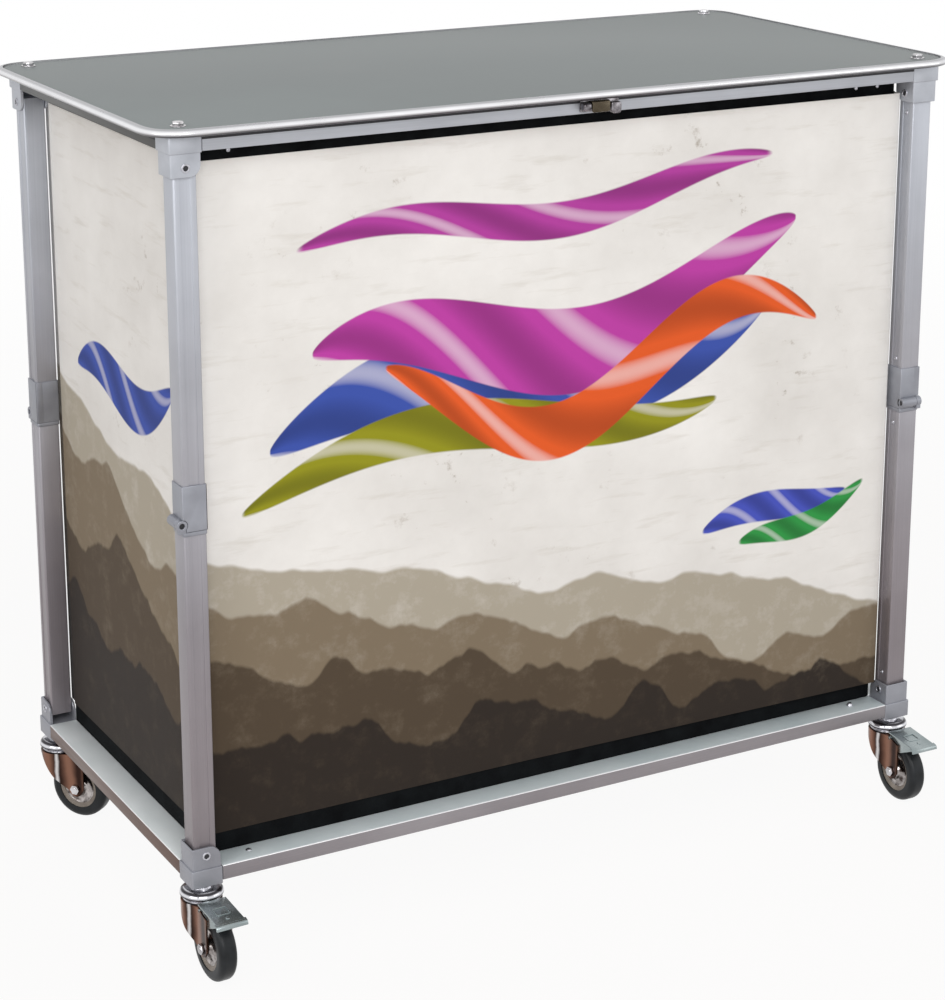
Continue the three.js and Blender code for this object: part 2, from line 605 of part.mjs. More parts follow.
// Rails of the base, flange up, and of the counter, flange down. The flanges stop where the hook
// strips turn the corners.
const stripRadius = FABRIC_CORNER_RADIUS - FABRIC_THICKNESS - SEAT_GAP;
const FLANGE_END = STRIP_INSET + stripRadius;
const RAIL_SIDES = [
  { name: "front", x: 0, y: -LEG_Y, turn: 0, legs: LEG_X },
  { name: "right", x: LEG_X, y: 0, turn: 90, legs: LEG_Y },
  { name: "rear", x: 0, y: LEG_Y, turn: 180, legs: LEG_X },
  { name: "left", x: -LEG_X, y: 0, turn: 270, legs: LEG_Y },
];
for (const side of RAIL_SIDES) {
  const frame = new THREE.Group();
  frame.position.set(side.x, side.y, 0);
  frame.rotation.z = degrees(side.turn);
  bar.add(frame);
  const length = 2 * (side.legs - RAIL_END);
  const flange = 2 * (side.legs - FLANGE_END);
  const baseRail = rail(length, flange, -RAIL_WALL, BASE_FLANGE_HEIGHT, -RAIL_HEIGHT);
  place(frame, `base_rail_${side.name}`, baseRail, ALUMINIUM).position.z = LEDGE_Z;
  const topRail = rail(length, flange, -TOP_FLANGE_HEIGHT, RAIL_WALL, 0);
  place(frame, `top_rail_${side.name}`, topRail, ALUMINIUM).position.z = TOP_RAIL_Z;
}

// Hook strips on the flanges
const wrapEnd = LEG_Y - FABRIC_END_INSET;
const stripOutline = wrapOutline(STRIP_INSET, STRIP_THICKNESS, stripRadius, wrapEnd, wrapEnd);
const baseStripTop = LEDGE_Z + BASE_FLANGE_HEIGHT - STRIP_EDGE;
const baseStrip = extrudeZ(stripOutline, LEDGE_Z + STRIP_EDGE, baseStripTop, 6);
place(bar, "base_hook_strip", baseStrip, HOOK_TAPE);
const topStripFoot = TOP_RAIL_Z - TOP_FLANGE_HEIGHT + STRIP_EDGE;
const topStrip = extrudeZ(stripOutline, topStripFoot, TOP_RAIL_Z - STRIP_EDGE, 6);
place(bar, "top_hook_strip", topStrip, HOOK_TAPE);

// Fabric wrap. Its left end laps behind the rear leg, with its corners cut clear of the cheeks.
const lapEnd = wrapEnd + FABRIC_LAP;
const fabricOutline = wrapOutline(
  FABRIC_INSET,
  FABRIC_THICKNESS,
  FABRIC_CORNER_RADIUS,
  lapEnd,
  wrapEnd,
);
const hemFoot = LEDGE_Z + FABRIC_BASE_RISE;
const hemTop = TOP_RAIL_Z - FABRIC_TOP_DROP;
const lapFoot = LEDGE_Z + CHEEK_HEIGHT + FABRIC_LAP_CLEARANCE;
const lapTop = TOP_BLOCK_Z - CHEEK_HEIGHT - FABRIC_LAP_CLEARANCE;
const fabricWrap = cut(
  toSolid(extrudeZ(fabricOutline, hemFoot, hemTop, 6)),
  box([-LEG_X, wrapEnd, hemFoot - 1], [0, lapEnd + 1, lapFoot]),
  box([-LEG_X, wrapEnd, lapTop], [0, lapEnd + 1, hemTop + 1]),
);
place(bar, "fabric_wrap", fabricWrap, FABRIC);

// Counter panel and its half-round rim
const counterHalfX = FRAME_LENGTH / 2 + COUNTER_OVERHANG_X;
const counterHalfY = FRAME_DEPTH / 2 + COUNTER_OVERHANG_Y;
const panelEdge = RIM_WIDTH + SEAT_GAP;
const panelShape = roundedRectangle(
  counterHalfX - panelEdge,
  counterHalfY - panelEdge,
  COUNTER_CORNER_RADIUS - panelEdge,
);
const recessZ = COUNTER_HEIGHT - BOLT_RECESS;
const boltHoles = CORNERS.flatMap(({ x, y }) => [
  rodZ(BOLT_RADIUS + BORE_GAP, PANEL_Z - 1, COUNTER_HEIGHT + 1, x, y),
  rodZ(BOLT_WASHER_RADIUS + BORE_GAP, recessZ, COUNTER_HEIGHT + 1, x, y, 16),
]);
const panel = cut(toSolid(extrudeZ(panelShape, PANEL_Z, COUNTER_HEIGHT, 8)), ...boltHoles);
place(bar, "counter_panel", panel, LAMINATE);

const rimShape = roundedRectangle(
  counterHalfX - RIM_ROUND,
  counterHalfY - RIM_ROUND,
  COUNTER_CORNER_RADIUS - RIM_ROUND,
);
const rimOptions = {
  depth: RIM_HEIGHT - 2 * RIM_ROUND,
  bevelThickness: RIM_ROUND,
  bevelSize: RIM_ROUND,
  bevelSegments: 3,
  curveSegments: 8,
};
const rimFoot = COUNTER_HEIGHT + RIM_PROUD - RIM_HEIGHT;
const rimSlab = new THREE.ExtrudeGeometry(rimShape, rimOptions).translate(0, 0, rimFoot + RIM_ROUND);
const rimOpening = roundedRectangle(
  counterHalfX - RIM_WIDTH,
  counterHalfY - RIM_WIDTH,
  COUNTER_CORNER_RADIUS - RIM_WIDTH,
);
const rim = cut(toSolid(rimSlab), extrudeZ(rimOpening, rimFoot - 1, rimFoot + RIM_HEIGHT + 1, 8));
place(bar, "counter_rim", rim, BRIGHT_RIM);

// Latch on the front rail: a plate with a rounded end and a hooked end, and a lever between them
const latch = new THREE.Group();
latch.position.set(LATCH_OFFSET_X, -LEG_Y - RAIL_OUT - SEAT_GAP, TOP_RAIL_Z);
bar.add(latch);
const plateHalf = LATCH_PLATE_LENGTH / 2;
const plateFoot = (RAIL_HEIGHT - LATCH_PLATE_HEIGHT) / 2;
const plateTop = plateFoot + LATCH_PLATE_HEIGHT;
const latchAxisY = -LATCH_PLATE_THICKNESS - LATCH_END_RADIUS + 1;
const latchAxisZ = plateTop - LATCH_BARREL_RADIUS;
const endInner = plateHalf - LATCH_END_LENGTH;
const hookFoot = plateTop - LATCH_HOOK_DROP;
const latchBase = cut(
  join(
    box([-plateHalf, -LATCH_PLATE_THICKNESS, plateFoot], [plateHalf, 0, plateTop]),
    rodX(LATCH_END_RADIUS, -plateHalf, -endInner, latchAxisY, latchAxisZ - LATCH_BARREL_RADIUS),
    box(
      [endInner, latchAxisY - LATCH_BARREL_RADIUS, hookFoot],
      [plateHalf, -LATCH_PLATE_THICKNESS / 2, plateTop],
    ),
  ),
  rodX(LATCH_PIN_RADIUS + BORE_GAP, -plateHalf - 1, plateHalf + 1, latchAxisY, latchAxisZ),
);
place(latch, "latch_base", latchBase, CHROME);
const leverHalf = LATCH_LEVER_LENGTH / 2;
const leverFace = latchAxisY - LATCH_BARREL_RADIUS;
const latchLever = join(
  rodX(LATCH_BARREL_RADIUS, -leverHalf, leverHalf, latchAxisY, latchAxisZ),
  rodX(LATCH_PIN_RADIUS, -plateHalf, plateHalf, latchAxisY, latchAxisZ),
  box(
    [-leverHalf, leverFace, latchAxisZ - LATCH_LEVER_HEIGHT],
    [leverHalf, leverFace + LATCH_LEVER_THICKNESS, latchAxisZ],
  ),
);
place(latch, "latch_lever", latchLever, CHROME);

export default bar;
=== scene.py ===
import json
import math

import bpy
import numpy as np
from mathutils import Matrix, Vector


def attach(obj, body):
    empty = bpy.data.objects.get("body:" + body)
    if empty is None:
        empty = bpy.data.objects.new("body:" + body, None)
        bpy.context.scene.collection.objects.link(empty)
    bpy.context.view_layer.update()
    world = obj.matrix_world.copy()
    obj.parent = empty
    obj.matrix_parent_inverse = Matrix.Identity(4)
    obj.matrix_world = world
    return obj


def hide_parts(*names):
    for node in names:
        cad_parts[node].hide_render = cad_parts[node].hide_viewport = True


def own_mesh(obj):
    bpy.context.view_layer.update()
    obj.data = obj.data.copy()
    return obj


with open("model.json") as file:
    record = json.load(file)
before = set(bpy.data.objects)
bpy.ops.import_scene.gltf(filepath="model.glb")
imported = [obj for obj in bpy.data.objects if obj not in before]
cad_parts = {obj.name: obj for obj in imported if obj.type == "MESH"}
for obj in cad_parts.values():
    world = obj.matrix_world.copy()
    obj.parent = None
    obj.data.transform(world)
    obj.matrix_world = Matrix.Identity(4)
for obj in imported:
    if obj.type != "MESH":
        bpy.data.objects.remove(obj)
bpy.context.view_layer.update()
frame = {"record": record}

# Studio: a pale floor that runs out of the picture, white surroundings and soft lamps.
# The camera stands left of the front and a little above the counter, as the photographer did.
AMBIENT = 0.52
WHITE = (1.0, 1.0, 1.0, 1.0)
FLOOR_HALF = 9.0
FLOOR_TONE = (0.72, 0.63, 0.57, 1.0)
FLOOR_WHITE = 0.93
FLOOR_FADE = (1.2, 4.5)
scene = bpy.context.scene
scene.view_settings.view_transform = "Standard"


def srgb(red, green, blue):
    """Linear colour of an 8-bit one: a straight line near black, a power of 2.4 above it."""
    share = np.array((red, green, blue)) / 255.0
    linear = np.where(share <= 0.04045, share / 12.92, ((share + 0.055) / 1.055) ** 2.4)
    return (*linear.tolist(), 1.0)


def feed(tree, inputs, values):
    """Links the outputs among the values to the inputs they name, and sets the plain values there."""
    for key, value in values.items():
        if isinstance(value, bpy.types.NodeSocket):
            tree.links.new(value, inputs[key])
        else:
            inputs[key].default_value = value


def node(tree, kind, values=None, **settings):
    """One shader node: settings are its own properties, values go to its inputs."""
    made = tree.nodes.new("ShaderNode" + kind)
    for name, value in settings.items():
        setattr(made, name, value)
    feed(tree, made.inputs, values or {})
    return made


def sums(tree, operation, first, second=0.0, third=0.0, clamp=False):
    """Output of one Math node."""
    terms = {0: first, 1: second, 2: third}
    return node(tree, "Math", terms, operation=operation, use_clamp=clamp).outputs[0]


def spread(tree, share, low, high, start=0.3, end=0.7):
    """A mask stretched from its own start and end to new ones."""
    ends = {"Value": share, "From Min": start, "From Max": end, "To Min": low, "To Max": high}
    return node(tree, "MapRange", ends).outputs[0]


def object_spot(tree):
    """Where a point lies on its object, in metres."""
    return node(tree, "TexCoord").outputs["Object"]


def white_rays(tree):
    """1 for rays that reach the background straight from the camera or off a mirror, else 0."""
    path = node(tree, "LightPath").outputs
    mirrored = sums(tree, "MAXIMUM", path["Is Glossy Ray"], path["Is Transmission Ray"])
    return sums(tree, "MAXIMUM", path["Is Camera Ray"], mirrored)


def cleared(data):
    """The node tree of a material or a world, emptied."""
    data.use_nodes = True
    data.node_tree.nodes.clear()
    return data.node_tree


world = bpy.data.worlds.new("white_room")
tree = cleared(world)
strength = sums(tree, "MULTIPLY_ADD", white_rays(tree), 1.0 - AMBIENT, AMBIENT)
room = node(tree, "Background", {"Color": WHITE, "Strength": strength})
node(tree, "OutputWorld", {"Surface": room.outputs[0]})
scene.world = world

floor_mesh = bpy.data.meshes.new("studio_floor")
span = np.linspace(-FLOOR_HALF, FLOOR_HALF, 2)
floor_points = np.stack(np.meshgrid(span, span, [0.0], indexing="ij"), axis=-1).reshape(-1, 3)
floor_mesh.from_pydata(floor_points.tolist(), [], [(0, 2, 3, 1)])
floor = bpy.data.objects.new("studio_floor", floor_mesh)
scene.collection.objects.link(floor)
floor_paint = bpy.data.materials.new("floor_paint")
tree = cleared(floor_paint)
plain = node(tree, "BsdfDiffuse", {"Color": FLOOR_TONE})
glow = node(tree, "Emission", {"Color": WHITE, "Strength": 1.0})
far = node(tree, "VectorMath", {0: object_spot(tree)}, operation="LENGTH").outputs["Value"]
share = sums(tree, "MULTIPLY", white_rays(tree), spread(tree, far, FLOOR_WHITE, 1.0, *FLOOR_FADE))
both = node(tree, "MixShader", {0: share, 1: plain.outputs[0], 2: glow.outputs[0]})
node(tree, "OutputMaterial", {"Surface": both.outputs[0]})
floor_mesh.materials.append(floor_paint)


def soft_lamp(name, place, aim, size, power):
    """A square area lamp at place, turned so that its -Z looks at aim."""
    data = bpy.data.lights.new(name, "AREA")
    data.size = size
    data.energy = power
    lamp = bpy.data.objects.new(name, data)
    lamp.location = place
    lamp.rotation_euler = (Vector(aim) - Vector(place)).to_track_quat("-Z", "Y").to_euler()
    scene.collection.objects.link(lamp)


soft_lamp("front_lamp", (-1.5, -3.7, 2.7), (0.0, -0.1, 0.6), 2.6, 81.0)
soft_lamp("right_lamp", (3.2, -2.6, 1.8), (0.2, 0.0, 0.6), 2.4, 16.0)
soft_lamp("left_lamp", (-3.5, -1.3, 2.0), (-0.4, 0.0, 0.7), 2.2, 34.0)

VIEW_AZIMUTH = math.radians(-28.997)
VIEW_ELEVATION = math.radians(15.004)
VIEW_DISTANCE = 3.4856
VIEW_TARGET = Vector((0.0, 0.0, 0.6899))
towards = Vector((math.sin(VIEW_AZIMUTH) * math.cos(VIEW_ELEVATION),
                  -math.cos(VIEW_AZIMUTH) * math.cos(VIEW_ELEVATION), math.sin(VIEW_ELEVATION)))
across = Vector((math.cos(VIEW_AZIMUTH), math.sin(VIEW_AZIMUTH), 0.0))
camera_data = bpy.data.cameras.new("photo_camera")
camera_data.sensor_width = 36.0
camera_data.lens = 90.60
camera_data.shift_x = -0.0049
camera_data.shift_y = -0.16
camera = bpy.data.objects.new("photo_camera", camera_data)
camera.location = VIEW_TARGET + towards * VIEW_DISTANCE
camera.rotation_euler = Matrix((across, towards.cross(across), towards)).transposed().to_euler()
scene.collection.objects.link(camera)
scene.camera = camera

# Corner castings of the base: die-cast aluminium blocks, each with two cheeks round the foot of a leg
# and a web that closes its outer side. A tubular rivet through the cheeks is the leg's lower pivot.
LEG_X = 0.540
LEG_Y = 0.259
BASE_Z = 0.118
LEDGE_Z = 0.142
BLOCK_HALF = 0.021
BLOCK_ROUND = 0.0024
CHEEK_FACE = 0.019
CHEEK_BACK = 0.0155
CHEEK_HEIGHT = 0.0285
CHEEK_ROUND = 0.014
WEB_FACE = 0.0167
WEB_BEND = 0.0022
PIN_RISE = 0.0172
RIVET_HOLE = 0.0033
RIVET_RIM = 0.0056
RIVET_PROUD = 0.0012
RIVET_ROOT = -0.003
CORE = 0.0003
CORNERS = {"front_left": (-LEG_X, -LEG_Y), "front_right": (LEG_X, -LEG_Y),
           "rear_right": (LEG_X, LEG_Y), "rear_left": (-LEG_X, LEG_Y)}
LEG_TURN = {"front_left": 0, "front_right": 90, "rear_right": 180, "rear_left": 270}


def eased(corners, radii, closed=True, steps=4):
    """A polygon with its corners eased: each is a quadratic curve from a point one radius before the
    corner to a point one radius past it. An open line keeps its two ends."""
    corners = np.asarray(corners, float)
    radius = np.broadcast_to(np.asarray(radii, float), len(corners))[:, None, None]
    before = np.roll(corners, 1, axis=0) - corners
    after = np.roll(corners, -1, axis=0) - corners
    before /= np.linalg.norm(before, axis=1, keepdims=True)
    after /= np.linalg.norm(after, axis=1, keepdims=True)
    t = np.linspace(0.0, 1.0, steps + 1)[None, :, None]
    here = corners[:, None]
    start = here + before[:, None] * radius
    end = here + after[:, None] * radius
    curve = (1 - t) ** 2 * start + 2 * t * (1 - t) * here + t ** 2 * end
    if closed:
        return curve.reshape(-1, 2)
    return np.concatenate((corners[:1], curve[1:-1].reshape(-1, 2), corners[-1:]))


def oblong(left, right, low, high):
    """Corners of a rectangle, from its lower left one round."""
    return (left, low), (right, low), (right, high), (left, high)


def rounded_box(half_x, half_y, radius, steps=4):
    """Outline of a rectangle about the origin with its four corners eased."""
    return eased(oblong(-half_x, half_x, -half_y, half_y), radius, steps=steps)


def raised(flat, height):
    """Plan points with a height added as their third coordinate."""
    return np.concatenate((flat, np.broadcast_to(height, flat.shape[:-1] + (1,))), axis=-1)


def prism(shape, low, high, edge=0.0006, steps=2):
    """A closed outline carried from low to high, its ends rounded: near an end the outline moves in
    along its normals by edge*(1 - sin a) while it climbs edge*(1 - cos a)."""
    shape = np.asarray(shape, float)
    ahead = np.roll(shape, -1, axis=0)
    along = ahead - np.roll(shape, 1, axis=0)
    out = np.stack((along[:, 1], -along[:, 0]), axis=1)
    out /= np.linalg.norm(out, axis=1, keepdims=True)
    out *= np.sign((shape[:, 0] * ahead[:, 1] - shape[:, 1] * ahead[:, 0]).sum())
    a = np.linspace(0.0, np.pi / 2, steps + 1)
    inset = edge * (1 - np.sin(a))
    climb = edge * (1 - np.cos(a))
    inset = np.concatenate((inset, inset[::-1]))
    height = np.concatenate((low + climb, (high - climb)[::-1]))
    return raised(shape[None] - out[None] * inset[:, None, None], height[:, None, None])


def spun(profile, sides):
    """A profile of (radius, height) pairs turned once round Z."""
    profile = np.asarray(profile, float)
    a = np.linspace(0.0, 2 * np.pi, sides, endpoint=False)
    ring = np.stack((np.cos(a), np.sin(a)), axis=1)
    return raised(profile[:, None, :1] * ring[None], profile[:, None, 1:])


def along_y(rings):
    """A shape drawn in XY and carried up Z, laid over: its plan becomes XZ and it runs along Y."""
    return rings[..., [0, 2, 1]]


def along_x(rings):
    """A shape drawn in XY and carried up Z, laid over: its plan becomes YZ and it runs along X."""
    return rings[..., [2, 0, 1]]


def shell(rings, loop=False, finish=0):
    """A closed surface through a row of equal rings: quads between neighbours and a flat polygon on
    each end, or none where the row is a loop. Faces turn round where the volume comes out negative."""
    rings = np.asarray(rings, float)
    rows, count = rings.shape[:2]
    index = np.arange(rows * count).reshape(rows, count)
    ahead = np.roll(index, -1, axis=1)
    here = np.arange(rows if loop else rows - 1)
    there = (here + 1) % rows
    quads = np.stack((index[here], ahead[here], ahead[there], index[there]), axis=-1).reshape(-1, 4)
    caps = np.zeros((0, count), int) if loop else np.stack((index[0][::-1], index[-1]))
    points = rings.reshape(-1, 3)

    def push(loops):
        middle = loops.mean(axis=1, keepdims=True)
        spokes = loops - middle
        area = np.cross(spokes, np.roll(spokes, -1, axis=1)).sum(axis=1)
        return (area * middle[:, 0]).sum()

    volume = push(points[quads]) + (push(points[caps]) if len(caps) else 0.0)
    if volume < 0:
        quads, caps = quads[:, ::-1], caps[:, ::-1]
    return points, quads, caps, finish


def turned(shells, turn, place):
    """The same shells turned about Z by degrees and moved."""
    c, s = math.cos(math.radians(turn)), math.sin(math.radians(turn))
    matrix = np.array(((c, s, 0.0), (-s, c, 0.0), (0.0, 0.0, 1.0)))
    return [(points @ matrix + np.asarray(place), *rest) for points, *rest in shells]


def piece(name, shells, paints, body, nodes=(), sharp=38.0):
    """One object from its shells, put end to end in one mesh: each shell's finish is the number of its
    paint. It rides on a body and stands for its nodes."""
    firsts = np.cumsum([0] + [len(s[0]) for s in shells])
    faces, finishes = [], []
    for (points, quads, caps, finish), first in zip(shells, firsts):
        faces += (quads + first).tolist() + (caps + first).tolist()
        finishes += [finish] * (len(quads) + len(caps))
    mesh = bpy.data.meshes.new(name)
    mesh.from_pydata(np.concatenate([s[0] for s in shells]).tolist(), [], faces)
    for paint in paints:
        mesh.materials.append(paint)
    mesh.polygons.foreach_set("material_index", np.array(finishes, np.int32))
    mesh.shade_smooth()
    mesh.set_sharp_from_angle(angle=math.radians(sharp))
    made = bpy.data.objects.new(name, mesh)
    scene.collection.objects.link(made)
    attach(made, body)
    if nodes:
        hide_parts(*nodes)
    return made


def at_corners(name, shells, paints, body, solid=None, height=0.0, turns=LEG_TURN):
    """The same shells as a piece at every corner that turns names, turned by its degrees there. The
    corner's name ends the names of the piece and its solid, and takes the place of braces in the body's."""
    made = []
    for corner, turn in turns.items():
        nodes = [f"{solid}_{corner}"] if solid else ()
        there = turned(shells, turn, (*CORNERS[corner], height))
        made.append(piece(f"{name}_{corner}", there, paints, body.format(corner), nodes))
    return made


def effect(name, inputs, outputs):
    """An empty node group with float or vector inputs and float outputs, and the sockets of its ends."""
    kinds = {float: "NodeSocketFloat", tuple: "NodeSocketVector"}
    made = bpy.data.node_groups.new(name, "ShaderNodeTree")
    for label, value in inputs.items():
        socket = made.interface.new_socket(label, in_out="INPUT", socket_type=kinds[type(value)])
        socket.default_value = value
    for label in outputs:
        made.interface.new_socket(label, in_out="OUTPUT", socket_type="NodeSocketFloat")
    start = made.nodes.new("NodeGroupInput")
    end = made.nodes.new("NodeGroupOutput")
    return made, start.outputs, end.inputs


def placed(tree, made, **values):
    """Outputs of a group placed in a material with its own values."""
    return node(tree, "Group", values, node_tree=made).outputs


def noise(tree, spot, scale, detail=2.0, roughness=0.5):
    """Smooth noise between 0 and 1, with scale cells to every unit of the spot."""
    grain = {"Vector": spot, "Scale": scale, "Detail": detail, "Roughness": roughness}
    return node(tree, "TexNoise", grain).outputs["Fac"]


def split(tree, vector):
    """The three parts of a vector."""
    return node(tree, "SeparateXYZ", {0: vector}).outputs


def height_shade_mask(tree):
    """0 near the floor, rising to 1 under the counter: the mask for painted shade that darkens the frame
    towards the floor.
    """
    ends = {"Value": split(tree, object_spot(tree))[2], "From Min": 0.25, "From Max": 1.02}
    return node(tree, "MapRange", ends, interpolation_type="SMOOTHSTEP").outputs[0]


# Speckle is the fine sand skin of cast metal, with broad stains from handling, and Lift, the height mask
# for painted shade.
outputs = ("Grit", "Stain", "Lift")
speckle, given, result = effect("Speckle", {"Fineness": 900.0, "Breadth": 14.0}, outputs)
spot = object_spot(speckle)
feed(speckle, result, {"Grit": noise(speckle, spot, given["Fineness"]),
                       "Stain": noise(speckle, spot, given["Breadth"], 4.0), "Lift": height_shade_mask(speckle)})


def blank(name):
    """A material with an empty tree, its Principled shader and that shader's inputs."""
    made = bpy.data.materials.new(name)
    tree = cleared(made)
    shader = node(tree, "BsdfPrincipled")
    node(tree, "OutputMaterial", {"Surface": shader.outputs[0]})
    return made, tree, shader.inputs


def mixed(tree, share, below, above):
    """Colour from one to another by a share."""
    return node(tree, "Mix", {0: share, 6: below, 7: above}, data_type="RGBA").outputs[2]


def toned(tree, share, dark, light):
    """Colour between two 8-bit tones by a share."""
    return mixed(tree, share, srgb(*dark), srgb(*light))


def bumped(tree, height, strength, distance):
    """A normal tilted along the slope of a height."""
    return node(tree, "Bump", {"Height": height, "Strength": strength, "Distance": distance}).outputs[0]


def cast_paint(name, dull, fresh):
    """Cast aluminium with a fine sand skin, darker towards the floor and lighter near the counter by
    painted shade.
    """
    made, tree, paint = blank(name)
    skin = placed(tree, speckle, Fineness=1100.0, Breadth=22.0)
    stain = spread(tree, skin["Stain"], 0.0, 1.0)
    # Painted shade: the darker tones near the floor, the lighter ones under the counter.
    colour = mixed(tree, skin["Lift"], toned(tree, stain, *dull), toned(tree, stain, *fresh))
    feed(tree, paint, {"Base Color": colour, "Metallic": 0.5,
                       "Roughness": spread(tree, skin["Stain"], 0.36, 0.5),
                       "Normal": bumped(tree, skin["Grit"], 0.12, 0.0004)})
    return made


def speckled_paint(name, fineness, breadth, tones, metallic, roughness, ends=(0.3, 0.7)):
    """A finish with the speckle's stain between two tones and its grit between two roughnesses."""
    made, tree, paint = blank(name)
    skin = placed(tree, speckle, Fineness=fineness, Breadth=breadth)
    feed(tree, paint, {"Base Color": toned(tree, spread(tree, skin["Stain"], 0.0, 1.0, *ends), *tones),
                       "Metallic": metallic, "Roughness": spread(tree, skin["Grit"], *roughness)})
    return made


casting_paint = cast_paint("cast_aluminium", ((136, 137, 144), (156, 158, 166)),
                           ((166, 170, 178), (190, 194, 202)))
rivet_paint = speckled_paint("rivet_steel", 1500.0, 160.0, ((150, 150, 158), (214, 214, 220)),
                             0.9, (0.2, 0.36), (0.0, 1.0))
# Painted shade: a near-black paint for the floors of holes and slots, the pin in a knee's bore and the
# strip under the rim.
painted_shade_paint = speckled_paint("dark_recess", 1500.0, 300.0, ((20, 20, 23), (48, 48, 53)),
                            0.2, (0.4, 0.6), (0.0, 1.0))


def tubular_rivet(face, rise, outward):
    """A tubular rivet's head on a cheek: a rounded lip round a hole whose floor is painted dark as shade,
    turned about Z, laid along Y.
    """
    lip = eased(((RIVET_HOLE, RIVET_ROOT), (RIVET_HOLE, RIVET_PROUD), (RIVET_RIM, RIVET_PROUD),
                 (RIVET_RIM, -0.001)), (0.0, 0.0005, 0.0007, 0.0), closed=False, steps=3)
    lip = spun(np.concatenate((lip, [[0.0048, RIVET_ROOT]])), 24)
    hole = spun(((CORE, 0.0003), (RIVET_HOLE + 0.0001, 0.0003), (RIVET_HOLE + 0.0002, -0.0010),
                 (CORE, -0.0010)), 24)
    place = (0.0, face * outward, rise)
    lip, hole = (along_y(rings * (1.0, 1.0, outward)) + place for rings in (lip, hole))
    return [shell(lip, loop=True, finish=1), shell(hole, finish=2)]


# A wall's section, point by point: lips inwards, share of its height, lips up, and 1 on the inner face.
WALL_SECTION = np.array(((0, 1, -1, 0), (0, 0.5, 0, 0), (0, 0, 1, 0), (1, 0, 0, 0), (-1, 0, 0, 1),
                         (0, 0, 1, 1), (0, 0.5, 0, 1), (0, 1, -1, 1), (-1, 1, 0, 1), (1, 1, 0, 0)))


def wall(path, thickness, low, top, lip):
    """A sheet on edge: a section with rounded lips carried along a plan path, its thickness and its lower
    and upper edges given for every point. The path's left side is the outside."""
    forward = np.gradient(path, axis=0)
    out = np.stack((-forward[:, 1], forward[:, 0]), axis=1)
    out /= np.linalg.norm(out, axis=1, keepdims=True)
    inwards, share, up, inner = WALL_SECTION.T
    deep = inwards[None] * lip + inner[None] * np.broadcast_to(thickness, len(path))[:, None]
    height = low[:, None] + (top - low)[:, None] * share[None] + up[None] * lip
    return shell(raised(path[:, None] - out[:, None] * deep[..., None], height[..., None]))


def casting(block_height):
    """Block, wall and rivets of a corner casting, standing on z = 0 with the leg's fold along +X. The wall
    runs from one cheek's free end round the web to the other's, and falls by a quarter circle at both."""
    plan = rounded_box(BLOCK_HALF, BLOCK_HALF, BLOCK_ROUND)
    block = prism(plan, 0.0, block_height, edge=0.0012, steps=3)
    face, bend = CHEEK_FACE, WEB_BEND
    drop = face - CHEEK_ROUND * (1 - np.cos(np.linspace(0.0, np.pi / 2, 9)))
    turn_in = np.linspace(0.0, np.pi / 2, 6)[1:-1]
    x = np.concatenate((drop, [0.0, bend - face], bend * (1 - np.sin(turn_in)) - face, [-face]))
    y = np.concatenate((np.full(len(drop) + 2, face), face - bend * (1 - np.cos(turn_in)), [face - bend]))
    path = np.concatenate((np.stack((x, -y), axis=1), np.stack((x, y), axis=1)[::-1]))
    fall = np.clip((path[:, 0] - face + CHEEK_ROUND) / CHEEK_ROUND, 0.0, 1.0)
    top = block_height + CHEEK_HEIGHT - CHEEK_ROUND * (1 - np.sqrt(1 - fall ** 2))
    low = np.full(len(path), block_height - 0.0015)
    on_cheek = path[:, 0] > bend - face - 0.0001
    thickness = np.where(on_cheek, face - CHEEK_BACK, face - WEB_FACE)
    made = [shell(block), wall(path, thickness, low, top, 0.0007)]
    for way in (1.0, -1.0):
        made += tubular_rivet(face, block_height + PIN_RISE, way)
    return made


CASTING_PAINTS = (casting_paint, rivet_paint, painted_shade_paint)
at_corners("base_casting", casting(LEDGE_Z - BASE_Z), CASTING_PAINTS, "base", "base_corner",
           BASE_Z)

# Rails of the base: box extrusions of satin anodised aluminium, cut between the castings. A pale insert
# tops them, and a thin flange on the inner edge carries the hook strip. Pan screws hold the insert down.
RAIL_OUT = 0.0204
RAIL_IN = 0.021
RAIL_HEIGHT = 0.0195
RAIL_END = 0.0213
FLANGE_FACE = 0.0197
FLANGE_END = 0.0373
BASE_FLANGE = 0.0300
INSERT_BELOW = -0.0006
INSERT_PROUD = 0.0002
SCREW_IN = 0.067
SCREW_BACK = 0.004
SIDES = {"front": (0.0, -LEG_Y, 0, LEG_X), "right": (LEG_X, 0.0, 90, LEG_Y),
         "rear": (0.0, LEG_Y, 180, LEG_X), "left": (-LEG_X, 0.0, 270, LEG_Y)}

# Grain is the fine drawn lines of an extrusion, long one way and narrow the others, and Lift, the height
# mask for painted shade.
outputs = ("Line", "Haze", "Lift")
grain, given, result = effect("Grain", {"Stretch": (900.0, 900.0, 5.0), "Breadth": 5.0}, outputs)
spot = object_spot(grain)
drawn = node(grain, "VectorMath", {0: spot, 1: given["Stretch"]}, operation="MULTIPLY").outputs[0]
feed(grain, result, {"Line": noise(grain, drawn, 1.0, 3.0, 0.6),
                     "Haze": noise(grain, spot, given["Breadth"], 5.0), "Lift": height_shade_mask(grain)})


